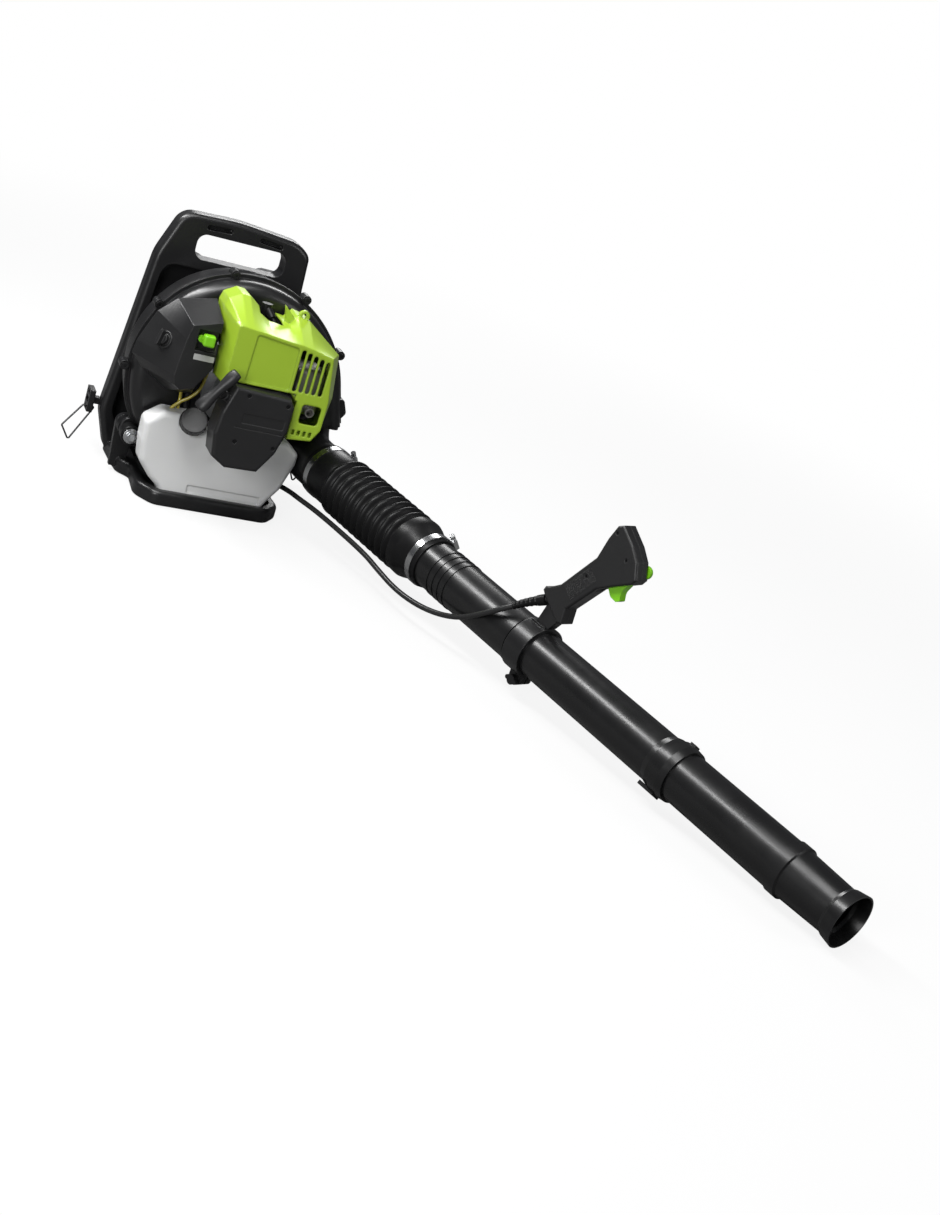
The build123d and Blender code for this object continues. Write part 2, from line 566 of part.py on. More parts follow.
def make_intake():
    """Insulator, carburettor with throttle arm, air filter with its base and cover, choke lever and knob."""
    y, z = CYLINDER_Y, CRANK_Z + CASE_RADIUS + 34
    left_port = CRANK_X - FIN_X / 2 - 4
    insulator = Pos((left_port + CARB_X + 18) / 2, y, z) * Box(left_port - CARB_X - 18, 30, 28)
    insulator -= rod((left_port + 1, y, z), (CARB_X, y, z), 8)
    carb = Pos(CARB_X, y, z) * Box(36, 32, 34)
    carb = chamfer(carb.edges().filter_by(Axis.X), 4)
    carb += rod((CARB_X, y, z - 17), (CARB_X, y, z - 26), 12)
    carb += Pos(CARB_X - 3, y + 16, z - 18.5) * Box(14, 24, 3)
    carb -= rod((CARB_X - 19, y, z), (CARB_X + 19, y, z), 8)
    shaft_y = y - 8
    carb -= rod((CARB_X, shaft_y, z + 18), (CARB_X, shaft_y, z + 8), 2.5 + RUNNING_FIT)
    arm = rod((CARB_X, shaft_y, z + 8.5), (CARB_X, shaft_y, z + 22), 2.5)
    arm += Pos(CARB_X - 6, shaft_y, z + 20) * Box(20, 8, 3)
    arm += rod((CARB_X - 13, shaft_y, z + 21), (CARB_X - 13, shaft_y, z + 26), 3)

    plate_x = CARB_X - 18
    element = Pos(plate_x - 20, y + 4, z - 4) * Box(28, 36, 64)
    element = fillet(element.edges().filter_by(Axis.X), 8)

    outer = cut_corner_loft(FILTER_BACK, FILTER_BACK_Y, FILTER_FRONT, FILTER_FRONT_Y)
    inner = cut_corner_loft(inset(FILTER_BACK, 3), FILTER_BACK_Y - 3, inset(FILTER_FRONT, 3), FILTER_FRONT_Y + 3)
    cover = outer - inner
    # bulkhead that carries the cover, filling its section behind the carburettor
    base = Pos(plate_x - 3, (FILTER_FRONT_Y - 80) / 2, z + 4) * Box(6, -80 - FILTER_FRONT_Y, 96) & inner
    base -= rod((plate_x + 1, y, z), (plate_x - 7, y, z), 8)
    base -= Pos(plate_x, FILTER_FRONT_Y + 10, CHOKE_PIVOT[1] - 2) * Box(30, 22, 42)
    # open towards the carburettor
    cover -= Pos(-64, -110, 280) * Box(40, 60, 110)
    cover -= Pos(-64, FILTER_BACK_Y, 260) * Box(50, 20, 130)
    px, pz = CHOKE_PIVOT
    well = Pos(px + 14, FILTER_FRONT_Y + 6, pz - 2) * Box(44, 14, 36)
    cover += Pos(px + 14, FILTER_FRONT_Y + 8, pz - 2) * Box(48, 15, 40) & outer
    cover -= Pos(0, -1, 0) * well
    cover -= rod((px, FILTER_FRONT_Y + 20, pz), (px, FILTER_FRONT_Y - 1, pz), 3 + RUNNING_FIT)
    boss = rod(KNOB_SEAT - KNOB_AXIS * 14, KNOB_SEAT, 10)
    cover += boss
    cover -= rod(KNOB_SEAT - KNOB_AXIS * 20, KNOB_SEAT + KNOB_AXIS, 3 + RUNNING_FIT)

    lever = rod((px, FILTER_FRONT_Y + 17, pz), (px, FILTER_FRONT_Y + 8, pz), 3)
    lever += rod((px, FILTER_FRONT_Y + 11.5, pz), (px, FILTER_FRONT_Y + 2, pz), 6)
    lever += Pos(px + 9, FILTER_FRONT_Y + 7, pz) * Box(22, 8, 9)
    lever += rod((px + 9, FILTER_FRONT_Y + 7, pz + 2), (px + 9, FILTER_FRONT_Y - 3, pz + 2), 5)
    lever += fillet((Pos(px + 9, FILTER_FRONT_Y - 8.5, pz + 2) * Box(19, 16, 19)).edges(), 3.5)

    knob = rod(KNOB_SEAT + KNOB_AXIS * 0.3, KNOB_SEAT + KNOB_AXIS * 7, 9)
    wing_plane = Plane(origin=KNOB_SEAT + KNOB_AXIS * 5, z_dir=KNOB_AXIS, x_dir=(0, 0, 1))
    knob += extrude(wing_plane * SlotOverall(27, 6), amount=11)
    knob += rod(KNOB_SEAT + KNOB_AXIS, KNOB_SEAT - KNOB_AXIS * 19, 3)
    return {"intake_insulator": insulator, "carburettor": carb, "throttle_arm": arm, "air_filter_base": base,
            "air_filter": element, "air_filter_cover": cover, "choke_lever": lever, "cover_knob": knob}


# ---------------------------------------------------------------- exhaust, covers and starter
COVER_FRONT = [(-50, 248), (-50, 300), (-50, 350), (-46, 352), (-38, 351), (-26, 350), (6, 347), (44, 343),
               (62, 342), (80, 339), (118, 331), (130, 254), (130, 205), (118, 184), (76, 180), (76, 248)]
COVER_MID = [(-56, 248), (-58, 300), (-64, 362), (-60, 376), (-40, 388), (-26, 387), (10, 362), (50, 357),
             (62, 372), (84, 368), (150, 322), (160, 246), (156, 200), (140, 182), (76, 180), (76, 248)]


def make_muffler():
    """Pressed-steel muffler box on the exhaust side, with its heat shield behind."""
    port = CRANK_X + FIN_X / 2 + 4
    z = CRANK_Z + CASE_RADIUS + 34
    box = Pos(100, -125, 257) * Box(50, 70, 80)
    box = fillet(box.edges(), 9)
    neck = Pos((port + 76) / 2, CYLINDER_Y, z) * Box(76 - port, 30, 28)
    shield = Pos(116, -69.5, 255) * Box(102, 5, 56)
    stay = Pos(100, -80, 255) * Box(26, 22, 30)
    outlet = ring((108, -159, 228), (108, -176, 228), 8, 6)
    return box + neck + shield + stay + outlet


def make_engine_cover():
    """Green shroud over the engine: bevelled shell with cooling slots, window and cable hook."""
    outer = cut_corner_loft(COVER_MID, COVER_BEVEL_Y, COVER_FRONT, COVER_FRONT_Y)
    outer += slab(polygon(COVER_MID), COVER_BACK_Y, COVER_BEVEL_Y)
    wall = COVER_WALL
    hollow = cut_corner_loft(inset(COVER_MID, wall), COVER_BEVEL_Y, inset(COVER_FRONT, wall), COVER_FRONT_Y + wall)
    hollow += slab(polygon(inset(COVER_MID, wall)), COVER_BACK_Y + 1, COVER_BEVEL_Y)
    cover = outer - hollow
    # open below, round the crankcase and starter plate, and at the intake
    cover -= Pos(12, -130, 236) * Box(120, 125, 46)
    cover -= Pos(76, -115, 236) * Box(14, 96, 46)
    cover -= Pos(-56, -94, 276) * Box(24, 56, 76)
    cover -= slab(rounded((-19, 262, 5), (58, 262, 5), (57, 336, 5), (-17, 344, 5)), COVER_FRONT_Y + 1.6, COVER_FRONT_Y - 1)
    for i in range(5):
        slot = Pos(66 + 11.4 * i, 299 - 1.5 * i) * Rot(0, 0, 90) * SlotOverall(72 - 3 * i, 7.6)
        cover -= slab(slot, COVER_FRONT_Y + 5, COVER_FRONT_Y - 1)
    cover -= slab(Pos(105, 228) * RectangleRounded(34, 34, 6), COVER_FRONT_Y + 5, COVER_FRONT_Y - 1)
    for i in range(4):
        cover -= slab(Pos(84 + 10 * i, 194) * RectangleRounded(5, 9, 1), COVER_FRONT_Y + 5, COVER_FRONT_Y - 1)
    # plug opening in the valley of the top
    cover -= Pos(CRANK_X + 4, CYLINDER_Y + 1, 372) * Box(44, 72, 40)
    horn = slab(polygon([(44, 352), (37, 385), (58, 366)]), COVER_BEVEL_Y + 8, COVER_BEVEL_Y)
    hook = slab(Pos(73, 374) * (Circle(9) - Circle(4.5)), COVER_BEVEL_Y + 8, COVER_BEVEL_Y)
    return cover + horn + hook


PULL = Vector(-0.75, -0.52, 0.41).normalized()
GRIP_CENTRE = Vector(-64, -213, 245)
GRIP_BAR = Vector(0.555, 0, 0.832).normalized()
GRIP_SECTIONS = ((-43, 10, 8), (-36, 12.5, 9.5), (-14, 9.5, 8), (14, 9.5, 8), (36, 11, 8.5), (43, 8.5, 7))


def make_starter():
    """Recoil starter: housing, rope pulley, spiral spring, rope and T-grip."""
    face = polygon(STARTER_OUTLINE)
    housing = slab(face, STARTER_BACK_Y, STARTER_FRONT_Y)
    housing = fillet(housing.faces().sort_by(Axis.Y)[0].edges(), 6)
    housing -= slab(polygon(inset(STARTER_OUTLINE, STARTER_WALL + 1)), STARTER_BACK_Y + 1,
                    STARTER_FRONT_Y + STARTER_WALL + 1)
    # bare recess for a name plate, and the ledge under it
    housing -= slab(Pos(23.5, 207) * RectangleRounded(73, 18, 3), STARTER_FRONT_Y + 1.2, STARTER_FRONT_Y - 1)
    housing -= slab(Pos(20, 190) * Rectangle(84, 2), STARTER_FRONT_Y + 1, STARTER_FRONT_Y - 1)
    housing += rod(on_crank(STARTER_FRONT_Y + 2), on_crank(-176), PULLEY_POST_RADIUS)
    guide = GRIP_CENTRE - PULL * 26
    housing += rod(guide + PULL * 8, guide - PULL * 12, 8)
    for x, z in STARTER_SCREWS:
        boss = rod((x, STARTER_FRONT_Y + 3, z), (x, STARTER_BACK_Y, z), 6)
        housing += boss & slab(face, STARTER_BACK_Y, STARTER_FRONT_Y)
        housing -= rod((x, STARTER_FRONT_Y - 1, z), (x, STARTER_FRONT_Y + STARTER_COUNTERBORE, z), 4)
        housing -= rod((x, STARTER_FRONT_Y - 1, z), (x, STARTER_BACK_Y + 1, z), 2.3)
    housing -= rod(guide + PULL * 12, guide - PULL * 24, ROPE_RADIUS + 0.5)

    pulley = ring(on_crank(-178), on_crank(-190), PULLEY_RADIUS, PULLEY_POST_RADIUS + RUNNING_FIT)
    pulley -= ring(on_crank(-181), on_crank(-187), PULLEY_RADIUS + 1, PULLEY_RADIUS - 6)
    spring = spiral_spring()

    stop = GRIP_CENTRE - PULL * 13
    rope = rod(stop, guide - PULL * 12, ROPE_RADIUS)
    across = GRIP_BAR.cross(PULL).normalized()
    ovals = [Plane(origin=GRIP_CENTRE + GRIP_BAR * at, x_dir=across, z_dir=GRIP_BAR) * Ellipse(wide, thick)
             for at, wide, thick in GRIP_SECTIONS]
    grip = loft(ovals)
    grip = fillet([grip.edges().sort_by(Axis(GRIP_CENTRE, GRIP_BAR))[i] for i in (0, -1)], 3)
    grip += rod(GRIP_CENTRE, stop, 7)
    return {"starter_housing": housing, "starter_pulley": pulley, "recoil_spring": spring,
            "starter_rope": rope, "starter_grip": grip}


def spiral_spring():
    """Flat spiral spring between the pulley and the housing."""
    turns, inner, outer = 3.0, 8.0, 24.0
    count = 24
    points = []
    for i in range(count + 1):
        share = i / count
        angle = 360 * turns * share
        points.append(polar(angle, inner + (outer - inner) * share))
    path = Spline(*[(x, STARTER_FRONT_Y + STARTER_WALL + 6.2, z) for x, z in points])
    section = Plane(origin=path @ 0, z_dir=path % 0, x_dir=(0, 1, 0)) * Rectangle(10, 0.9)
    return sweep(section, path=path)


# ---------------------------------------------------------------- fuel system
TANK_OUTLINE = [(-142, 140, 14), (-114, 162, 14), (-66, 162, 10), (-40, TANK_TOP, 12), (108, TANK_TOP, 14),
                (134, 130, 12), (134, 112, 12), (118, 60, 14), (102, 36, 14), (88, TRAY_FLOOR, 12), (-86, TRAY_FLOOR, 12),
                (-97, 28, 14), (-113, 41, 14), (-136, 68, 14), (-141, 104, 14)]
TANK_WALL = 2.5
NECK_AXIS = Vector(-0.15, -0.75, 0.64).normalized()
NECK_ROOT = Vector(-60, -98, 140)


def make_fuel_system():
    """Tank with filler neck, screw cap and the two fuel lines to the carburettor."""
    tank = slab(rounded(*TANK_OUTLINE), TANK_BACK_Y, TANK_FRONT_Y)
    tank = fillet(tank.faces().sort_by(Axis.Y)[0].edges(), 10)
    # moulded step along the lower front
    tank -= Pos(20, TANK_FRONT_Y, 34) * Box(130, 3, 14)
    cavity = polygon(inset([corner[:2] for corner in TANK_OUTLINE], TANK_WALL + 2))
    cavity = slab(cavity, TANK_BACK_Y - TANK_WALL, TANK_FRONT_Y + TANK_WALL)
    # hollow that lets the air duct pass
    path = elbow_path()
    tank -= sweep(Plane(origin=path @ 0, z_dir=path % 0) * Circle(DUCT_RADIUS + 1.5), path=path)
    seat = NECK_ROOT + NECK_AXIS * 16
    tank -= rod(seat, seat + NECK_AXIS * 20, CAP_RADIUS + 0.6)
    tank += rod(NECK_ROOT, seat, NECK_RADIUS + 3)
    tank += rod(seat, seat + NECK_AXIS * 9, NECK_RADIUS)
    tank -= chamfer(cavity.faces().sort_by(Axis.Y)[0].edges(), 7)
    tank -= rod(NECK_ROOT - NECK_AXIS * 6, seat + NECK_AXIS * 10, NECK_RADIUS - TANK_WALL)
    cap = rod(seat + NECK_AXIS * 0.4, seat + NECK_AXIS * (CAP_HEIGHT + 0.4), CAP_RADIUS)
    cap = chamfer(cap.edges(), 1.5)
    cap -= rod(seat, seat + NECK_AXIS * 10, NECK_RADIUS + THREAD_CLEARANCE)
    for i in range(16):
        groove_plane = Plane(origin=seat + NECK_AXIS * 3, z_dir=NECK_AXIS)
        cap -= extrude(groove_plane * Rot(0, 0, 22.5 * i) * Pos(CAP_RADIUS + 1.4, 0) * Circle(2.4), amount=14)
    lines = []
    carb_z = CRANK_Z + CASE_RADIUS + 34
    port_y = CYLINDER_Y + 10
    top = TANK_OUTLINE[1][1]
    supply = [(-101, -83, top - 4), (-90, -86, top + 13), (-72, -90, top + 26), (CARB_X + 10, port_y, top + 50),
              (CARB_X + 12, port_y, carb_z - 17)]
    back = [(-86, -78, top - 4), (-86, -78, top + 10), (-85, -67.6, top + 28), (-84, -67.6, top + 46),
            (CARB_X - 14, -78, 232), (CARB_X - 14, port_y, 252), (CARB_X - 14, port_y, carb_z - 18)]
    for path in (supply, back):
        lines.append(routed("fuel line", path, FUEL_LINE_RADIUS))
        tank -= rod(path[0], path[1], FUEL_LINE_RADIUS)
    return {"fuel_tank": tank, "fuel_cap": cap, "fuel_lines": group(lines)}


# ---------------------------------------------------------------- bellows and tubes
def bellows_outline(first, last):
    """(station, radius) points of the ridges from number first to number last."""
    points = []
    for i in range(first, last + 1):
        crest = FIRST_RIDGE + i * RIDGE_PITCH
        points += [(crest - 7.5, ROOT_RADIUS), (crest - 3.5, RIDGE_RADIUS), (crest + 3.5, RIDGE_RADIUS),
                   (crest + 7.5, ROOT_RADIUS)]
    return points


def make_bellows():
    """The flexible hose in three pieces, the middle ridge being where it bends."""
    middle = RIDGES // 2
    split_a = FIRST_RIDGE + (middle - 0.5) * RIDGE_PITCH
    split_b = split_a + RIDGE_PITCH
    rear = turned((CUFF_START, BELLOWS_BORE), (CUFF_START, 48), (FIRST_RIDGE - 10, 48), *bellows_outline(0, middle - 1),
                  (split_a, ROOT_RADIUS), (split_a, BELLOWS_BORE))
    centre = turned((split_a, BELLOWS_BORE), (split_a, ROOT_RADIUS), *bellows_outline(middle, middle),
                    (split_b, ROOT_RADIUS), (split_b, BELLOWS_BORE))
    cone = FIRST_RIDGE + (RIDGES - 1) * RIDGE_PITCH + 12
    cuff_bore = REAR_TUBE_RADIUS + 0.1
    front = turned((split_b, BELLOWS_BORE), (split_b, ROOT_RADIUS), *bellows_outline(middle + 1, RIDGES - 1),
                   (cone - 3, RIDGE_RADIUS), (cone + 14, RIDGE_RADIUS), (cone + 34, 45), (BELLOWS_END, 44.5),
                   (BELLOWS_END, cuff_bore), (REAR_TUBE_START, cuff_bore), (cone + 20, BELLOWS_BORE))
    return {"bellows_rear": rear, "bellows_middle": centre, "bellows_front": front}


def hose_clamp(at, radius, angle):
    """Worm-drive clamp round a cuff: band, screw housing and screw, turned by angle about the tube."""
    band = turned((at, radius), (at, radius + 1.5), (at + 12, radius + 1.5), (at + 12, radius))
    local = ALONG.location * Rot(0, 0, angle) * Pos(radius + 5, 0, at + 6)
    housing = local * Box(8, 20, 14)
    worm = local * Pos(1, 4, 0) * Rot(90, 0, 0) * Cylinder(4.5, 30)
    return band + housing + worm


def make_tubes():
    """Rear, middle and front tube and the nozzle, each slipped into the next."""
    wall = TUBE_WALL
    rear_bore = TUBE_RADIUS + SLIP
    r = REAR_TUBE_RADIUS
    rear = [(REAR_TUBE_START, r)]
    for i in range(4):
        s = BELLOWS_END + 30 + 14 * i
        rear += [(s, r), (s, r + 1.2), (s + 4, r + 1.2), (s + 4, r)]
    rear += [(REAR_TUBE_END - 6, r), (REAR_TUBE_END - 6, r + 1), (REAR_TUBE_END, r + 1), (REAR_TUBE_END, rear_bore),
             (REAR_TUBE_START, rear_bore)]
    collar_start = COLLAR_END - TUBE_OVERLAP + 4
    collar_bore = TUBE_RADIUS + SLIP
    t = TUBE_RADIUS
    middle = [(REAR_TUBE_END - TUBE_OVERLAP, t), (collar_start - 10, t), (collar_start, collar_bore + 2.4),
              (COLLAR_END - 26, collar_bore + 2.4), (COLLAR_END - 26, COLLAR_RADIUS), (COLLAR_END - 12, COLLAR_RADIUS),
              (COLLAR_END, COLLAR_RADIUS - 1.6), (COLLAR_END, collar_bore), (collar_start, collar_bore),
              (collar_start - 8, t - wall), (REAR_TUBE_END - TUBE_OVERLAP, t - wall)]
    front = [(collar_start + 2, t), (TUBE_END, t), (TUBE_END, t - wall), (collar_start + 2, t - wall)]
    bore = TUBE_RADIUS + SLIP
    neck = NOZZLE_NECK_RADIUS
    nozzle = [(NOZZLE_START, bore), (NOZZLE_START, bore + 1.7), (TUBE_END + 4, bore + 1.7), (TUBE_END + 6, 37.7),
              (NOZZLE_NECK_STATION, neck), (MOUTH_STATION - 18, neck + 2.4), (MOUTH_STATION, MOUTH_RADIUS),
              (MOUTH_STATION, MOUTH_RADIUS - 2.5), (MOUTH_STATION - 18, neck), (NOZZLE_NECK_STATION, neck - wall),
              (TUBE_END + 5, 35.7), (TUBE_END + 1, 36.6), (TUBE_END + 1, bore)]
    middle_tube = turned(*middle)
    # bayonet boss on the collar and, opposite, the rib of its catch
    for angle, deep, wide, along in ((-30, 5, 14, 10), (150, 6, 22, 30)):
        boss = Pos(COLLAR_RADIUS, 0, COLLAR_END - 14 - along / 2) * Box(deep, wide, along)
        middle_tube += ALONG.location * Rot(0, 0, angle) * boss
    middle_tube -= turned((collar_start, 0), (COLLAR_END + 1, 0), (COLLAR_END + 1, collar_bore), (collar_start, collar_bore))
    return {"tube_rear": turned(*rear), "tube_middle": middle_tube, "tube_front": turned(*front),
            "nozzle": turned(*nozzle)}


# ---------------------------------------------------------------- control handle
HANDLE_PROFILE = [(660, 86), (648, 96), (650, 103), (660, 108), (676, 121), (719, 191), (725, 226), (733, 251), (743, 257),
                  (773, 239), (791, 223), (802, 199), (797, 190), (772, 173), (741, 150), (704, 94), (707, 70), (697, 66), (674, 80)]
HANDLE_FOOT = [(657, 46.8), (666, 88), (694, 88), (692, 62), (683, 46.8)]
FOOT_HALF = 9.0
TRIGGER_PIVOT = (768, 196)
BUTTON_PLACE = (791, 207)
HANDLE_SCREWS = ((738, 242), (772, 216), (716, 158))


def upright(sketch, low, high):
    """The sketch, drawn as (station, height), as a solid between two side distances."""
    return extrude(Plane(origin=BEND_CENTRE + SIDE * low, x_dir=AXIS, z_dir=SIDE) * sketch, amount=high - low)


CABLE_ENTRY = station(640, 72, 14)
CABLE_STOP = station(674, 95, 4)


def make_handle():
    """Tube clamp with its bolt, two handle shells, screws, trigger, spring and stop button."""
    end = CLAMP_START + CLAMP_WIDTH
    bore = TUBE_RADIUS + 0.05
    collar = turned((CLAMP_START, bore), (CLAMP_START, bore + CLAMP_WALL), (end, bore + CLAMP_WALL), (end, bore))
    lug_side = 4
    for low, high in ((lug_side - 11, lug_side - 2), (lug_side + 2, lug_side + 11)):
        lug = rounded((CLAMP_START + 6, -30, 1), (CLAMP_START + 8, -58, 8), (end - 2, -58, 8), (end, -30, 1))
        collar += upright(lug, low, high)
    foot = rounded((CLAMP_START + 4, 36, 1), (CLAMP_START + 6, 46.8, 2), (end - 2, 46.8, 2), (end, 36, 1))
    collar += upright(foot, -HANDLE_HALF + 2, HANDLE_HALF - 2)
    collar -= turned((CLAMP_START - 1, 0), (end + 1, 0), (end + 1, bore), (CLAMP_START - 1, bore))
    collar -= upright(polygon([(CLAMP_START - 1, -30), (CLAMP_START - 1, -60), (end + 1, -60), (end + 1, -30)]),
                      lug_side - 2, lug_side + 2)
    bolt_station, bolt_height = CLAMP_START + 22, -53
    hole = rod(station(bolt_station, bolt_height, lug_side - 12), station(bolt_station, bolt_height, lug_side + 12), 3.2)
    collar -= hole
    bolt = rod(station(bolt_station, bolt_height, lug_side - 13), station(bolt_station, bolt_height, lug_side + 13), 3)
    bolt += rod(station(bolt_station, bolt_height, lug_side + 11.3), station(bolt_station, bolt_height, lug_side + 20), 8)
    wings = Pos(bolt_station, bolt_height) * SlotOverall(25, 7)
    bolt += upright(wings, lug_side + 14, lug_side + 20)
    bolt += rod(station(bolt_station, bolt_height, lug_side - 11.3), station(bolt_station, bolt_height, lug_side - 15), 6)

    body = upright(polygon(HANDLE_PROFILE), -HANDLE_HALF, HANDLE_HALF)
    body = fillet(body.faces().sort_by(Axis(BEND_CENTRE, SIDE))[-1].edges(), 4)
    body = fillet(body.faces().sort_by(Axis(BEND_CENTRE, SIDE))[0].edges(), 4)
    body += upright(polygon(HANDLE_FOOT), -FOOT_HALF, FOOT_HALF)
    px, pz = TRIGGER_PIVOT
    well = polygon([(735, 138), (752, 206), (784, 214), (796, 178), (770, 160)])
    body -= upright(well, -7, 7)
    body -= rod(station(px, pz, -9), station(px, pz, 9), 2.5 + RUNNING_FIT)
    bx, bz = BUTTON_PLACE
    body -= rod(station(bx, bz, -HANDLE_HALF - 1), station(bx, bz, -HANDLE_HALF + 5), 10.3)
    for x, z in HANDLE_SCREWS:
        body -= rod(station(x, z, HANDLE_HALF + 1), station(x, z, HANDLE_HALF - 3), 3.4)
        body -= rod(station(x, z, HANDLE_HALF), station(x, z, -6), 1.7)
    body -= rod(CABLE_ENTRY, CABLE_STOP, CABLE_RADIUS + 0.05)
    near = Plane(origin=BEND_CENTRE, x_dir=AXIS, z_dir=SIDE)
    keep = extrude(near * (Pos(720, 150) * Rectangle(400, 400)), amount=60)
    left, right = body & keep, body - keep

    lever = rod(station(px, pz, -6), station(px, pz, 6), 6)
    shape = rounded((px - 8, pz + 4, 2), (px + 8, pz, 3), (px + 19, pz - 13, 3), (px + 12.5, pz - 28, 14),
                    (px + 16, pz - 41, 2), (px + 10, pz - 45.5, 3), (px - 3, pz - 44, 10), (px - 14, pz - 33, 3))
    lever += upright(shape, -6, 6)
    lever += rod(station(px, pz, -8.8), station(px, pz, 8.8), 2.5)
    coil = ring(station(px, pz + 0, 6.1), station(px, pz, 6.9), 5.5, 3.2)
    button = rod(station(bx, bz, -HANDLE_HALF - 10), station(bx, bz, -HANDLE_HALF + 0.6), 10.2)
    button = fillet(button.edges().sort_by(Axis(BEND_CENTRE, SIDE))[0], 8)
    screws = [screw(station(x, z, HANDLE_HALF - 3), -SIDE, 3.2, 2.6, 1.5, 12) for x, z in HANDLE_SCREWS]
    return {"handle_clamp": collar, "clamp_bolt": bolt, "handle_left": left, "handle_right": right,
            "trigger": lever, "trigger_spring": coil, "stop_button": button, "handle_screws": group(screws)}


# ---------------------------------------------------------------- throttle cable
def make_cable():
    """Throttle cable from the carburettor, behind the tank and beside the bellows, to the handle."""
    split = FIRST_RIDGE + (RIDGES // 2) * RIDGE_PITCH
    ahead = [station(split, -46, 46), station(285, -46, 46), station(335, -50, 50), station(385, -55, 50),
             station(430, -53, 48), station(470, -46, 46), station(510, -33, 45), station(548, -13, 47),
             station(582, 14, 46), station(612, 42, 36), CABLE_ENTRY, CABLE_STOP]
    behind = [(-70, -82, 262), (-70, -82, 236), (-72, -67, 206), (-72, -66, 156), (-46, -66, 110),
              (10, -66, 76), (70, -66, 60), (118, -62, 57), (141, -95, 57), station(78, -52, 46),
              station(125, -48, 46), station(185, -46, 46), station(split, -46, 46)]
    return routed("cable behind", behind, CABLE_RADIUS), routed("cable ahead", ahead, CABLE_RADIUS)


def make_case_screws():
    """Screws of the housing rim and starter housing, and the front isolator's bolt with its washer."""
    x, z = front_mount()
    washer = rod((x, MOUNT_FRONT_Y, z), (x, MOUNT_FRONT_Y - 2, z), MOUNT_RADIUS - 4)
    head = slab(Pos(x, z) * RegularPolygon(7.5, 6), MOUNT_FRONT_Y - 2, MOUNT_FRONT_Y - 8)
    screws = [washer + head]
    for angle in BOSS_ANGLES:
        x, z = boss_place(angle)
        screws.append(screw((x, RIM_Y - 12, z), (0, 1, 0), 5.5, 4.5, 2.5, 18))
    for x, z in STARTER_SCREWS:
        shank = STARTER_BACK_Y - STARTER_FRONT_Y - STARTER_COUNTERBORE
        screws.append(screw((x, STARTER_FRONT_Y + STARTER_COUNTERBORE, z), (0, 1, 0), 3.6, 3.4, 2.1, shank))
    return group(screws)


parts["frame"] = make_frame()
parts.update(make_harness())
parts["isolator_mounts"] = make_isolators()
parts["volute_rear"], parts["volute_front"] = make_volute()
parts["inlet_guard"] = make_inlet_guard()
parts["impeller"] = make_impeller()
parts["outlet_elbow"] = make_elbow()
parts.update(make_bottom_end())
parts.update(make_top_end())
parts.update(make_ignition())
parts.update(make_intake())
parts["muffler"] = make_muffler()
parts["engine_cover"] = make_engine_cover()
parts.update(make_starter())
parts.update(make_fuel_system())
parts.update(make_bellows())
parts["elbow_clamp"] = hose_clamp(74, 48.1, -60)
parts["tube_clamp"] = hose_clamp(384, 45.2, -50)
parts.update(make_tubes())
parts.update(make_handle())
parts["throttle_cable_rear"], parts["throttle_cable_front"] = make_cable()
parts["case_screws"] = make_case_screws()

os.makedirs("parts", exist_ok=True)
for name, shape in parts.items():
    export_step(shape, f"parts/{name}.step")
print(len(parts), "nodes")
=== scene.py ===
"""Backpack leaf blower: finishes, soft goods, cords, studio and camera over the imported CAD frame."""

import json
import logging
import math
from collections.abc import Callable, Iterable
from dataclasses import dataclass
from enum import Enum

import bmesh
import bpy
from mathutils import Matrix, Vector

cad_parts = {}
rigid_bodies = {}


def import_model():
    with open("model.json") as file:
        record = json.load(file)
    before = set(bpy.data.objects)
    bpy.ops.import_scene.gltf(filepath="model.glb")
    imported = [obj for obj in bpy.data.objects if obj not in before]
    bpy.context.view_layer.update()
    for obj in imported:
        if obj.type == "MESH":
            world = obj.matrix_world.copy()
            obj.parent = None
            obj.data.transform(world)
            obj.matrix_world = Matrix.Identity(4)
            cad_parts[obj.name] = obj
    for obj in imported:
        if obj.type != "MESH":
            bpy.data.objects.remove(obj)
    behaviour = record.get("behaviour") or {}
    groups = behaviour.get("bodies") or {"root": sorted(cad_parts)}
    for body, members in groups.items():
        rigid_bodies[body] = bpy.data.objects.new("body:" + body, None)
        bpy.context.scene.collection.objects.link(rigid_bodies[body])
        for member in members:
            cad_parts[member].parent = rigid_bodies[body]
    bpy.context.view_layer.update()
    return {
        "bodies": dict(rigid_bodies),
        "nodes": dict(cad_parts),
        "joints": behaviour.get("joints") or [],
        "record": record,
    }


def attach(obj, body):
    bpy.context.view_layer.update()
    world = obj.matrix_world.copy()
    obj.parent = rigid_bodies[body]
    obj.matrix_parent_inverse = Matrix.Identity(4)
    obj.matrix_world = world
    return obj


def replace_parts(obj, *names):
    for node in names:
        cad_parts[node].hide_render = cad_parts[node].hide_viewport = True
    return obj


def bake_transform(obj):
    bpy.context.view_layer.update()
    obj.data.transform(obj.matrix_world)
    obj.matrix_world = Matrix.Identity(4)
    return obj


LOG = logging.getLogger("leaf_blower")
FULL_TURN = 2 * math.pi
RIGHT, REARWARD, UP = Vector((1.0, 0.0, 0.0)), Vector((0.0, 1.0, 0.0)), Vector((0.0, 0.0, 1.0))

Flat = tuple[float, float]
Point = tuple[float, float, float]
Shape = bmesh.types.BMesh
Corner = bmesh.types.BMVert
Piece = bpy.types.Object
Socket = bpy.types.NodeSocket


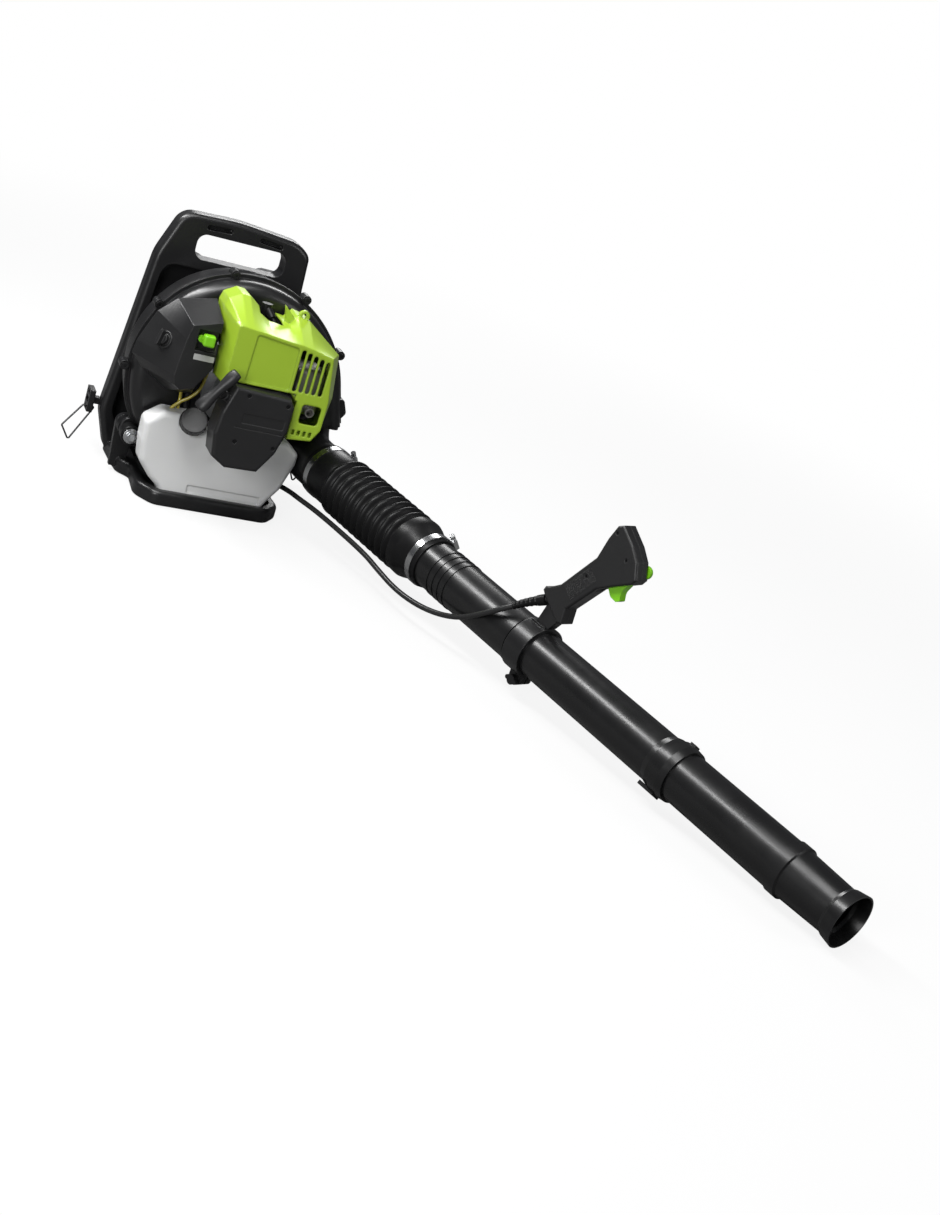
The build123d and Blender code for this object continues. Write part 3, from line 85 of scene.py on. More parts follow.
class Nodes:
    """A node tree that is filled by short calls."""

    def __init__(self, tree: bpy.types.NodeTree) -> None:
        """Take the tree to fill."""
        self.tree = tree

    def add(self, kind: str, inputs: dict[str | int, object], **options: object) -> bpy.types.Node:
        """Add a node.

        Args:
            kind: The node's type, without its usual prefix.
            inputs: The socket or plain value for each input.
            **options: The node's own settings.

        Returns:
            The new node.
        """
        node = self.tree.nodes.new(f"ShaderNode{kind}")
        for option, value in options.items():
            setattr(node, option, value)
        self.feed(node, inputs)
        return node

    def feed(self, node: bpy.types.Node, inputs: dict[str | int, object]) -> None:
        """Fill a node's inputs.

        Args:
            node: The node.
            inputs: The socket or plain value for each input.
        """
        for name, value in inputs.items():
            if isinstance(value, Socket):
                self.tree.links.new(value, node.inputs[name])
            else:
                node.inputs[name].default_value = value


class Grain(Enum):
    """What breaks up a surface at close range, by the scale of its pattern."""

    SMOOTH = 200.0
    MOULDED = 900.0
    CAST = 420.0
    BRUSHED = 1500.0
    WOVEN = 190.0
    MESHED = 520.0


@dataclass(frozen=True)
class Finish:
    """A procedural surface.

    Attributes:
        name: The material's name.
        slot: The record's material slot. Not used.
        colour: Linear base colour.
        roughness: Mean roughness.
        metallic: 0 for plastics and rubber, 1 for bare metal.
        grain: The fine texture.
        bump: Strength of the fine texture, from 0 to 1.
        wear: How far the colour and roughness wander, from 0 to 1.
        specular: Strength of the dielectric reflection.
        coat: Strength of a clear coat.
        sheen: Strength of the soft fabric sheen.
        subsurface: Light scattered inside, for the tank's milky plastic.
        rub: How much paler exposed edges are, from 0 to 1.
        round_edge: Radius to which the light rounds the moulded edges, in metres.
    """

    name: str
    slot: str
    colour: Point
    roughness: float
    metallic: float = 0.0
    grain: Grain = Grain.SMOOTH
    bump: float = 0.05
    wear: float = 0.15
    specular: float = 0.5
    coat: float = 0.0
    sheen: float = 0.0
    subsurface: float = 0.0
    rub: float = 0.0
    round_edge: float = 0.0

    COAT_ROUGHNESS = 0.15
    SCATTER = (0.01, 0.01, 0.009)
    CLOUD = {"Scale": 14.0, "Detail": 6.0, "Roughness": 0.6}
    COLOUR_DRIFT = 0.5
    LEAST_DRIFT = 0.004
    GLOSS_DRIFT = 0.35
    LEAST_ROUGHNESS = 0.04
    RUBBED_SHARE, RUBBED_GREY = 0.5, 0.16
    RUBBED_REACH = 0.0016
    RELIEF_DEPTH = 0.0005

    def build(self) -> bpy.types.Material:
        """Make the material.

        Returns:
            The node material, mapped in object coordinates.
        """
        material = bpy.data.materials.new(self.name)
        material.use_nodes = True
        nodes = Nodes(material.node_tree)
        place = nodes.add("TexCoord", {}).outputs["Object"]
        cloud = nodes.add("TexNoise", {"Vector": place, **self.CLOUD}).outputs["Fac"]
        shader = material.node_tree.nodes["Principled BSDF"]
        nodes.feed(shader, {
            "Base Color": self._colour(nodes, cloud), "Roughness": self._gloss(nodes, cloud),
            "Metallic": self.metallic, "Specular IOR Level": self.specular, "Coat Weight": self.coat,
            "Coat Roughness": self.COAT_ROUGHNESS, "Sheen Weight": self.sheen,
            "Subsurface Weight": self.subsurface, "Subsurface Radius": self.SCATTER})
        if self.grain is not Grain.SMOOTH or self.round_edge:
            nodes.feed(shader, {"Normal": self._relief(nodes, place)})
        return material

    def _colour(self, nodes: Nodes, cloud: Socket) -> Socket:
        """Let the colour drift over the surface, and pale its rubbed edges.

        Args:
            nodes: The material's nodes.
            cloud: The soft noise that the drift follows.

        Returns:
            The colour's socket.
        """
        drift = self.COLOUR_DRIFT * self.wear
        low = [part * (1 - drift) for part in self.colour]
        high = [min(1.0, part * (1 + drift) + self.LEAST_DRIFT * self.wear) for part in self.colour]
        colour = self._mix(nodes, cloud, (*low, 1.0), (*high, 1.0))
        if self.rub:
            pale = [self.RUBBED_SHARE * part + self.RUBBED_GREY for part in self.colour]
            colour = self._mix(nodes, self._rubbed_edges(nodes), colour, (*pale, 1.0))
        return colour

    def _gloss(self, nodes: Nodes, cloud: Socket) -> Socket:
        """Return the socket of a roughness that wanders with the cloud about the finish's own."""
        spread = self.GLOSS_DRIFT * self.wear
        return nodes.add("MapRange", {
            "Value": cloud, "From Min": 0.3, "From Max": 0.7,
            "To Min": max(self.LEAST_ROUGHNESS, self.roughness - spread),
            "To Max": min(1.0, self.roughness + spread)}).outputs["Result"]

    @staticmethod
    def _mix(nodes: Nodes, share: Socket, low: object, high: object) -> Socket:
        """Blend two colours, each a socket or a plain value.

        Args:
            nodes: The material's nodes.
            share: How much of the second colour shows.
            low: The first colour.
            high: The second colour.

        Returns:
            The blended colour's socket.
        """
        mix = nodes.add("Mix", {"Factor": share}, data_type="RGBA")
        sides = {socket.name: index for index, socket in enumerate(mix.inputs) if socket.type == "RGBA"}
        nodes.feed(mix, {sides["A"]: low, sides["B"]: high})
        return next(socket for socket in mix.outputs if socket.type == "RGBA")

    def _rubbed_edges(self, nodes: Nodes) -> Socket:
        """Find the exposed edges, where handling rubs the surface.

        Args:
            nodes: The material's nodes.

        Returns:
            A socket from 0 on flats to the finish's rub on edges.
        """
        soft = nodes.add("Bevel", {"Radius": self.RUBBED_REACH}, samples=4)
        true = nodes.add("NewGeometry", {})
        match = nodes.add("VectorMath", {0: soft.outputs["Normal"], 1: true.outputs["Normal"]},
                          operation="DOT_PRODUCT")
        return nodes.add("MapRange", {"Value": match.outputs["Value"], "From Min": 0.985, "From Max": 0.87,
                                      "To Max": self.rub}).outputs["Result"]

    def _relief(self, nodes: Nodes, place: Socket) -> Socket:
        """Add the fine texture, and round the moulded edges in the light.

        Args:
            nodes: The material's nodes.
            place: Object coordinates.

        Returns:
            The normal's socket.
        """
        pattern = {"Vector": place, "Scale": self.grain.value}
        if self.grain is Grain.WOVEN:
            weave = nodes.add("TexWave", {**pattern, "Distortion": 2.0, "Detail Scale": 3.0},
                              wave_type="BANDS", bands_direction="DIAGONAL")
            height = weave.outputs["Fac"]
        elif self.grain is Grain.MESHED:
            height = nodes.add("TexVoronoi", {**pattern, "Randomness": 0.25}).outputs["Distance"]
        else:
            height = nodes.add("TexNoise", {**pattern, "Detail": 3.0}).outputs["Fac"]
        relief = {"Strength": self.bump, "Distance": self.RELIEF_DEPTH, "Height": height}
        if self.round_edge:
            relief["Normal"] = nodes.add("Bevel", {"Radius": self.round_edge}, samples=6).outputs["Normal"]
        return nodes.add("Bump", relief).outputs["Normal"]


BLACK = Finish("black_plastic", "black_plastic", (0.0085, 0.0085, 0.009), 0.33, grain=Grain.MOULDED,
               bump=0.15, rub=0.12, round_edge=0.002)
TUBE = Finish("tube_plastic", "black_plastic", (0.0065, 0.0065, 0.0068), 0.29, grain=Grain.MOULDED, bump=0.05)
DARK = Finish("dark_plastic", "dark_plastic", (0.0115, 0.0115, 0.012), 0.40, grain=Grain.MOULDED, bump=0.2,
              rub=0.12, round_edge=0.0016)
GREEN = Finish("green_plastic", "green_plastic", (0.315, 0.475, 0.030), 0.34, wear=0.08, bump=0.02, coat=0.12,
               rub=0.06, round_edge=0.0045)
LIME = Finish("lime_plastic", "green_plastic", (0.19, 0.54, 0.012), 0.32, wear=0.05, bump=0.02, coat=0.2,
              round_edge=0.0012)
TANK = Finish("tank_plastic", "tank_plastic", (0.74, 0.745, 0.74), 0.42, wear=0.05, bump=0.02,
              subsurface=0.35, round_edge=0.004)
LINE = Finish("clear_line", "clear_line", (0.46, 0.38, 0.05), 0.22, wear=0.1, coat=0.3)
RUBBER = Finish("rubber", "rubber", (0.0055, 0.0055, 0.0058), 0.36, bump=0.02, wear=0.05, specular=0.2)
SHEATH = Finish("cable_sheath", "cable_sheath", (0.014, 0.014, 0.0145), 0.34, wear=0.1)
ROPE = Finish("starter_cord", "cord", (0.55, 0.55, 0.52), 0.8, grain=Grain.WOVEN, bump=0.6, sheen=0.2)
PAD = Finish("pad_fabric", "pad_fabric", (0.020, 0.021, 0.023), 0.85, grain=Grain.MESHED,
             bump=0.8, sheen=0.25)
BINDING = Finish("binding", "strap_webbing", (0.012, 0.012, 0.013), 0.75, grain=Grain.WOVEN,
                 bump=0.6, sheen=0.2)
WEB = Finish("strap_webbing", "strap_webbing", (0.014, 0.014, 0.016), 0.8, grain=Grain.WOVEN,
             bump=0.8, sheen=0.25)
THREAD = Finish("stitching", "strap_webbing", (0.10, 0.10, 0.105), 0.7, grain=Grain.WOVEN, bump=0.4)
PAPER = Finish("filter_paper", "filter_paper", (0.55, 0.42, 0.22), 0.9, grain=Grain.WOVEN, bump=0.3)
ZINC = Finish("zinc_steel", "zinc_steel", (0.58, 0.585, 0.59), 0.24, 1.0, Grain.BRUSHED, 0.12)
STEEL = Finish("bright_steel", "bright_steel", (0.52, 0.53, 0.54), 0.28, 1.0, Grain.BRUSHED, 0.1)
WIRE = Finish("wire_steel", "bright_steel", (0.11, 0.11, 0.112), 0.3, 0.9, Grain.BRUSHED, 0.1)
SCREW = Finish("blacked_steel", "bright_steel", (0.04, 0.04, 0.042), 0.34, 0.8, Grain.BRUSHED, 0.1)
MUFFLER = Finish("muffler_steel", "muffler_steel", (0.34, 0.33, 0.315), 0.42, 0.7, Grain.CAST, 0.25, 0.4)
CAST = Finish("cast_aluminium", "cast_aluminium", (0.40, 0.405, 0.41), 0.42, 0.9, Grain.CAST, 0.35)
LABEL = Finish("label_film", "cast_aluminium", (0.50, 0.50, 0.495), 0.34, 0.3, wear=0.05)


class Finishes:
    """Builds each finish once and puts it on pieces."""

    def __init__(self) -> None:
        """Start with no materials made."""
        self._made: dict[str, bpy.types.Material] = {}

    def get(self, finish: Finish) -> bpy.types.Material:
        """Return the finish's material, made on first use.

        Args:
            finish: The finish wanted.

        Returns:
            Its material.
        """
        if finish.name not in self._made:
            self._made[finish.name] = finish.build()
        return self._made[finish.name]

    def put(self, piece: bpy.types.Object, finish: Finish) -> bpy.types.Object:
        """Give a piece one finish.

        Args:
            piece: A mesh or curve.
            finish: The finish wanted.

        Returns:
            The same piece.
        """
        piece.data.materials.clear()
        piece.data.materials.append(self.get(finish))
        return piece


@dataclass(frozen=True)
class TubeLine:
    """The straight axis of the blower tube, with stations along it in metres from the last bend.

    Attributes:
        bend: Centre of the elbow's last bend.
        yaw: Degrees outward from straight ahead.
        mouth_station: Station of the mouth.
        mouth_radius: Radius of the mouth's flare.
        mouth_lift: Height of the mouth's lowest point.
    """

    bend: Point = (0.1636, -0.0531, 0.119)
    yaw: float = 19.2
    mouth_station: float = 1.321
    mouth_radius: float = 0.041
    mouth_lift: float = 0.0003

    def axes(self) -> tuple[Vector, Vector, Vector]:
        """Return the directions along, towards the engine and up from the axis."""
        reach = math.hypot(self.mouth_station, self.mouth_radius)
        drop = math.asin((self.bend[2] - self.mouth_lift) / reach)
        drop -= math.atan2(self.mouth_radius, self.mouth_station)
        yaw = math.radians(self.yaw)
        along = Vector((math.sin(yaw) * math.cos(drop), -math.cos(yaw) * math.cos(drop), -math.sin(drop)))
        side = Vector((-math.cos(yaw), -math.sin(yaw), 0.0))
        return along, side, side.cross(along)

    def at(self, station: float, height: float = 0.0, side: float = 0.0) -> Vector:
        """Return a point by its station, height over the axis and distance towards the engine.

        Args:
            station: Distance along the axis.
            height: Distance above the axis.
            side: Distance towards the engine.

        Returns:
            The point in the shared frame.
        """
        along, towards, up = self.axes()
        return Vector(self.bend) + along * station + up * height + towards * side


TUBE_LINE = TubeLine()


class Mesher:
    """Makes the meshes that several sub-assemblies share."""

    EDGE_ANGLE = 40.0

    @staticmethod
    def add(name: str, build: Callable[[Shape], None], smooth: float | None = 35.0) -> Piece:
        """Make a mesh piece.

        Args:
            name: The piece's name.
            build: Fills the empty mesh it is given.
            smooth: Edges flatter than this, in degrees, are shaded smooth, or None for flat faces.

        Returns:
            The new piece, linked to the scene.
        """
        shape = bmesh.new()
        build(shape)
        bmesh.ops.recalc_face_normals(shape, faces=shape.faces)
        if smooth is not None:
            for face in shape.faces:
                face.smooth = True
            for edge in shape.edges:
                edge.smooth = len(edge.link_faces) == 2 and edge.calc_face_angle(0.0) < math.radians(smooth)
        mesh = bpy.data.meshes.new(name)
        shape.to_mesh(mesh)
        shape.free()
        piece = bpy.data.objects.new(name, mesh)
        bpy.context.scene.collection.objects.link(piece)
        return piece

    @staticmethod
    def ring_faces(shape: Shape, rings: list[list[Corner]], closed: bool = False) -> None:
        """Join rings of vertices with quads.

        Args:
            shape: The mesh being built.
            rings: Rings with the same number of vertices, in order.
            closed: Whether the last ring joins the first.
        """
        pairs = list(zip(rings, rings[1:]))
        if closed:
            pairs.append((rings[-1], rings[0]))
        for low, high in pairs:
            count = len(low)
            for i in range(count):
                shape.faces.new((low[i], low[(i + 1) % count], high[(i + 1) % count], high[i]))

    @staticmethod
    def skin(shape: Shape, rings: list[list[Vector]], closed: bool = False) -> None:
        """Skin a closed body over rings of points, with flat ends unless the rings close on themselves.

        Args:
            shape: The mesh being built.
            rings: Rings with the same number of points, in order.
            closed: Whether the last ring joins the first.
        """
        made = [[shape.verts.new(point) for point in ring] for ring in rings]
        Mesher.ring_faces(shape, made, closed)
        if not closed:
            shape.faces.new(made[0])
            shape.faces.new(made[-1])

    @staticmethod
    def loft(name: str, rings: list[list[Vector]], smooth: float = 35.0, closed: bool = False) -> Piece:
        """Make a piece of one body that is skinned over rings of points.

        Args:
            name: The piece's name.
            rings: Rings with the same number of points, in order.
            smooth: Edges flatter than this, in degrees, are shaded smooth.
            closed: Whether the last ring joins the first.

        Returns:
            The new piece.
        """
        return Mesher.add(name, lambda shape: Mesher.skin(shape, rings, closed), smooth)

    @staticmethod
    def circle(middle: Vector, across: Vector, other: Vector, radius: float, steps: int) -> list[Vector]:
        """Return points evenly round a circle, or round an ellipse if the two directions differ in length.

        Args:
            middle: The circle's middle.
            across: Direction of the first point.
            other: Direction of the point a quarter turn on.
            radius: The circle's radius.
            steps: Number of points.

        Returns:
            The points.
        """
        turns = (FULL_TURN * k / steps for k in range(steps))
        return [middle + (across * math.cos(turn) + other * math.sin(turn)) * radius for turn in turns]

    @staticmethod
    def turned(name: str, profile: list[Flat], around: int) -> Piece:
        """Revolve a closed (station, radius) outline about the tube's axis.

        Args:
            name: The piece's name.
            profile: The closed outline.
            around: Steps round the axis.

        Returns:
            The new piece.
        """
        _, side, up = TUBE_LINE.axes()
        rings = [Mesher.circle(TUBE_LINE.at(station), up, side, radius, around)
                 for station, radius in profile]
        return Mesher.loft(name, rings, smooth=50.0, closed=True)

    @staticmethod
    def soften(piece: Piece, width: float) -> None:
        """Round a piece's sharp edges.

        Args:
            piece: The piece.
            width: Width of the rounding, in metres.
        """
        bevel = piece.modifiers.new("soft_edges", "BEVEL")
        bevel.width = width
        bevel.segments = 2
        bevel.limit_method = "ANGLE"
        bevel.angle_limit = math.radians(Mesher.EDGE_ANGLE)
        bevel.harden_normals = True

    @staticmethod
    def rounded_box(wide: float, high: float, radius: float, steps: int = 5) -> list[Flat]:
        """Return a rectangle with round corners, centred on the origin.

        Args:
            wide: Its width.
            high: Its height.
            radius: Its corner radius.
            steps: Points along each corner.

        Returns:
            The outline's points.
        """
        points = []
        for corner, (sign_x, sign_y) in enumerate(((1, 1), (-1, 1), (-1, -1), (1, -1))):
            for i in range(steps):
                turn = math.radians(90 * corner + 90 * i / (steps - 1))
                points.append((sign_x * (wide / 2 - radius) + radius * math.cos(turn),
                               sign_y * (high / 2 - radius) + radius * math.sin(turn)))
        return points

    @staticmethod
    def spline(name: str, route: Iterable[Point], radius: float) -> Piece:
        """Make a round cord on a smooth line.

        Args:
            name: The piece's name.
            route: The line's control points.
            radius: The cord's radius, or 0 for the bare line.

        Returns:
            The curve.
        """
        curve = bpy.data.curves.new(name, "CURVE")
        curve.dimensions = "3D"
        curve.resolution_u = 12
        curve.bevel_depth = radius
        curve.bevel_resolution = 5
        curve.use_fill_caps = radius > 0
        line = curve.splines.new("NURBS")
        places = [Vector(point) for point in route]
        line.points.add(len(places) - 1)
        for point, place in zip(line.points, places):
            point.co = (*place, 1.0)
        line.order_u = 3
        line.use_endpoint_u = True
        piece = bpy.data.objects.new(name, curve)
        bpy.context.scene.collection.objects.link(piece)
        return piece

    @staticmethod
    def read_line(route: Iterable[Point]) -> list[Vector]:
        """Read points along a cord's smooth line.

        Args:
            route: The line's control points.

        Returns:
            Points along it, in order.
        """
        bare = Mesher.spline("bare_line", route, 0.0)
        bpy.context.view_layer.update()
        mesh = bpy.data.meshes.new_from_object(bare)
        points = [vertex.co.copy() for vertex in mesh.vertices]
        bpy.data.meshes.remove(mesh)
        curve = bare.data
        bpy.data.objects.remove(bare)
        bpy.data.curves.remove(curve)
        return points

    @staticmethod
    def length(line: list[Vector]) -> float:
        """Return the length of a line of points."""
        return sum((b - a).length for a, b in zip(line, line[1:]))

    @staticmethod
    def headings(line: list[Vector]) -> list[Vector]:
        """Return the direction in which a line runs at each of its points.

        Args:
            line: Points along it.

        Returns:
            A unit vector for each point.
        """
        last = len(line) - 1
        return [(line[min(i + 1, last)] - line[max(i - 1, 0)]).normalized() for i in range(len(line))]

    @staticmethod
    def round_tube(name: str, line: list[Vector], radius: Callable[[float], float], around: int) -> Piece:
        """Skin a round tube along a line.

        Args:
            name: The piece's name.
            line: Points along its middle.
            radius: The radius at a share of the line, from 0 to 1.
            around: Points round it.

        Returns:
            The new piece.
        """
        rings = []
        across = (line[1] - line[0]).orthogonal().normalized()
        for i, (point, ahead) in enumerate(zip(line, Mesher.headings(line))):
            across = (across - ahead * across.dot(ahead)).normalized()
            size = radius(i / (len(line) - 1))
            rings.append(Mesher.circle(point, across, ahead.cross(across), size, around))
        return Mesher.loft(name, rings, smooth=50.0)


@dataclass
class SubAssembly:
    """CAD nodes and added pieces that share a purpose.

    Attributes:
        finishes: The shared finishes.
    """

    frame: dict
    finishes: Finishes

    def dress(self, finish: Finish, *nodes: str, edge: float = 0.0) -> None:
        """Put a finish on CAD nodes.

        Args:
            finish: The finish.
            *nodes: The CAD nodes' names.
            edge: Width of the edge rounding in metres, or 0 for none.
        """
        for node in nodes:
            piece = self.finishes.put(self.frame["nodes"][node], finish)
            if edge:
                Mesher.soften(piece, edge)
            LOG.info("%s: %s", node, finish.name)

    def fit(self, piece: Piece, finish: Finish, body: str = "chassis") -> Piece:
        """Finish an added piece and let it ride on a body.

        Args:
            piece: The piece, in place.
            finish: Its finish.
            body: The CAD body.

        Returns:
            The same piece.
        """
        self.finishes.put(piece, finish)
        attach(piece, body)
        LOG.info("%s: %s on %s", piece.name, finish.name, body)
        return piece

    def stretch(self, piece: Piece, finish: Finish, bodies: tuple[str, str],
                ends: tuple[Vector, Vector]) -> None:
        """Finish an added piece that lies between two bodies, and bake its place into its mesh.

        Args:
            piece: The piece, in place.
            finish: Its finish.
            bodies: The CAD bodies at its two ends.
            ends: Not used.
        """
        self.finishes.put(piece, finish)
        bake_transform(piece)
        LOG.info("%s: %s between %s and %s", piece.name, finish.name, *bodies)

    def cord(self, name: str, route: tuple[Point, ...], radius: float, finish: Finish, node: str) -> None:
        """Lay a short fixed cord that stands for a CAD node.

        Args:
            name: The piece's name.
            route: Its control points.
            radius: Its radius.
            finish: Its finish.
            node: The CAD node.
        """
        length = Mesher.length(Mesher.read_line(route))
        piece = self.fit(Mesher.spline(name, route, radius), finish)
        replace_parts(piece, node)


@dataclass
class CarryingFrame(SubAssembly):
    """Back panel, base and isolators."""

    def build(self) -> None:
        """Dress the frame."""
        self.dress(BLACK, "frame", "strap_buckles", edge=0.0008)
        self.dress(RUBBER, "isolator_mounts", edge=0.0006)
        self.dress(WIRE, "strap_rings")


@dataclass
class Harness(SubAssembly):
    """Quilted back pad and padded shoulder straps.

    Attributes:
        panel_y: Rear face of the back panel.
        pad_size: Width, thickness and height of the pad.
        pad_middle: Height of the pad's middle.
        pad_gap: From the panel to the pad.
        pad_inset: How much smaller than the pad each side of its cloth starts.
        pad_corner: Radius of the pad's corners.
        side_share: How far through the pad's thickness its flat side reaches.
        side_swell: How far the side stands out.
        crown_share: Height of a cell's crown over the side, as a share of the thickness.
        channels: Heights of the sewn channels above the pad's middle.
        channel_half: Half the width of a channel's dip.
        channel_end: From a channel's end to the pad's side.
        seam_depth: How far a seam is drawn in.
        most_swell: The farthest that a point of the cloth may move.
        cell: Side of one cell of the pad's cloth.
        held_dip: Depth in a channel from which the cloth is sewn down, from 0 to 1.
        held_end: From the end of that seam to the pad's side.
        piping_size: Half the width and depth of the bead round the pad.
        piping_inset: From the pad's outline to the bead's middle.
        piping_corner: Radius of the bead's corners.
        piping_share: How far through the pad's thickness the bead lies.
        stitch: Length of a stitch in the channels.
        stitch_pitch: From one stitch there to the next.
        stitch_sink: How far under the cloth's flat side these stitches lie.
        strap_x: Distance of each strap from the middle.
        strap_width: Width of the padded part.
        strap_thick: Its thickness.
        strap_stitch: Length of a stitch on the straps.
        strap_pitch: From one stitch there to the next.
        strap_hem: From the stitches to the tape's edge.
        strap_crown: How round the padding's section is, from 0 to 1.
        tape_crown: The same for the webbing and the tape.
        lap: Points of the line over which the webbing runs on inside the padding.
        overlay_skip: Points at the padding's top that the tape leaves bare.
        overlay_sink: How far the tape's middle lies under the padding's face.
        seam_skip: Points at the padding's top and foot without stitches.
        seam_rise: How far the stitches lie over the padding's face.
        web_width: Width of the webbing below it.
        web_thick: Its thickness.
        overlay_thick: Thickness of the tape sewn on the padding.
        padded_share: How far along the strap the padding goes.
        strap_line: Control points of the strap's middle line, as (y, z).
    """

    panel_y: float = 0.1253
    pad_size: Point = (0.220, 0.024, 0.266)
    pad_middle: float = 0.217
    pad_gap: float = 0.0002
    pad_inset: float = 0.004
    pad_corner: float = 0.03
    side_share: float = 0.55
    side_swell: float = 0.003
    crown_share: float = 0.42
    channels: tuple[float, ...] = (-0.068, 0.0, 0.068)
    channel_half: float = 0.011
    channel_end: float = 0.016
    seam_depth: float = 0.0045
    most_swell: float = 0.010
    cell: float = 0.0055
    held_dip: float = 0.62
    held_end: float = 0.012
    piping_size: Flat = (0.0024, 0.0046)
    piping_inset: float = 0.0015
    piping_corner: float = 0.031
    piping_share: float = 0.3
    stitch: float = 0.0038
    stitch_pitch: float = 0.006
    stitch_sink: float = 0.0040
    strap_x: float = 0.078
    strap_width: float = 0.058
    strap_thick: float = 0.0105
    strap_stitch: float = 0.0035
    strap_pitch: float = 0.0055
    strap_hem: float = 0.003
    strap_crown: float = 0.75
    tape_crown: float = 0.15
    lap: int = 12
    overlay_skip: int = 6
    overlay_sink: float = 0.0004
    seam_skip: tuple[int, int] = (8, 4)
    seam_rise: float = 0.0008
    web_width: float = 0.038
    web_thick: float = 0.0028
    overlay_thick: float = 0.0022
    padded_share: float = 0.66
    strap_line: tuple[Flat, ...] = (
        (0.1253, 0.374), (0.150, 0.374), (0.172, 0.374), (0.181, 0.350), (0.184, 0.325), (0.187, 0.290),
        (0.183, 0.230), (0.176, 0.150), (0.172, 0.125), (0.166, 0.085), (0.160, 0.064), (0.142, 0.062),
        (0.1253, 0.062))

    FRAMES = 20
    SLACK = 0.0001
    RIB_POINTS = 9
    SELVEDGE = 0.35

    def build(self) -> None:
        """Make the pad and straps."""
        pad = self.back_pad()
        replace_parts(self.fit(pad, PAD), "back_pad")
        self.fit(self.piping(), BINDING)
        for index, height in enumerate(self.channels):
            self.fit(self.channel_stitches(index, height), THREAD)
        for hand, label in ((-1, "left"), (1, "right")):
            self.strap(hand, label)

    def back_pad(self) -> Piece:
        """Sew a pad that swells between its channels.
        """
        wide, thick, high = self.pad_size
        columns, rows = round(wide / self.cell), round(high / self.cell)
        back = self.panel_y + self.side_share * thick

        def build(shape: Shape) -> None:
            """Fill the mesh."""
            layers = []
            for depth in (self.panel_y + self.pad_gap, back):
                layers.append([[shape.verts.new(self._cloth_point(i / columns - 0.5, j / rows - 0.5, depth))
                                for i in range(columns + 1)] for j in range(rows + 1)])
            for layer in layers:
                for low, up in zip(layer, layer[1:]):
                    for i in range(columns):
                        shape.faces.new((low[i], low[i + 1], up[i + 1], up[i]))
            rims = [self._rim(layer) for layer in layers]
            middle = []
            for a, b in zip(*rims):
                outward = Vector((a.co.x, 0, a.co.z - self.pad_middle)).normalized()
                middle.append(shape.verts.new((a.co + b.co) / 2 + outward * self.side_swell))
            Mesher.ring_faces(shape, [rims[0], middle, rims[1]])

        pad = Mesher.add("back_pad_cushion", build, None)
        for face in pad.data.polygons:
            face.use_smooth = True
        self._inflate(pad, back)
        rounding = pad.modifiers.new("rounding", "SUBSURF")
        rounding.levels = rounding.render_levels = 1
        return pad

    def _cloth_point(self, across: float, along: float, depth: float) -> Point:
        """Place a point of the pad's cloth, drawn in at the round corners.

        Args:
            across: Its share of the width, from -0.5 to 0.5.
            along: Its share of the height, from -0.5 to 0.5.
            depth: Its y.

        Returns:
            The point.
        """
        half_x, half_z = self.pad_size[0] / 2 - self.pad_inset, self.pad_size[2] / 2 - self.pad_inset
        x = max(-half_x, min(half_x, self.pad_size[0] * across))
        z = max(-half_z, min(half_z, self.pad_size[2] * along))
        straight_x, straight_z = half_x - self.pad_corner, half_z - self.pad_corner
        over_x, over_z = abs(x) - straight_x, abs(z) - straight_z
        if over_x > 0 and over_z > 0:
            square, reach = max(over_x, over_z), math.hypot(over_x, over_z)
            x = math.copysign(straight_x + over_x * square / reach, x)
            z = math.copysign(straight_z + over_z * square / reach, z)
        return x, depth, z + self.pad_middle

    @staticmethod
    def _rim(layer: list[list[Corner]]) -> list[Corner]:
        """Return the border vertices of a grid, in order.

        Args:
            layer: Rows of vertices.

        Returns:
            The border, once round.
        """
        right = [line[-1] for line in layer[1:-1]]
        left = [line[0] for line in layer[-2:0:-1]]
        return [*layer[0], *right, *reversed(layer[-1]), *left]

    def _dip(self, z: float) -> float:
        """Return how deep in a sewn channel this height is, from 0 outside to 1 at its seam."""
        nearest = min(abs(z - self.pad_middle - height) for height in self.channels)
        return max(0.0, 1 - nearest / self.channel_half)

    def _crown(self, pad: Piece, back: float) -> None:
        """Crown the pad without a simulation.

        Args:
            pad: The pad.
            back: Where its outer face starts.
        """
        wide, thick, high = self.pad_size
        for vertex in pad.data.vertices:
            if vertex.co.y < back - self.SLACK:
                continue
            across = max(0.0, 1 - (2 * vertex.co.x / wide) ** 4)
            along = max(0.0, 1 - (2 * (vertex.co.z - self.pad_middle) / high) ** 6)
            vertex.co.y += self.crown_share * thick * across * along * (1 - self._dip(vertex.co.z) ** 2)

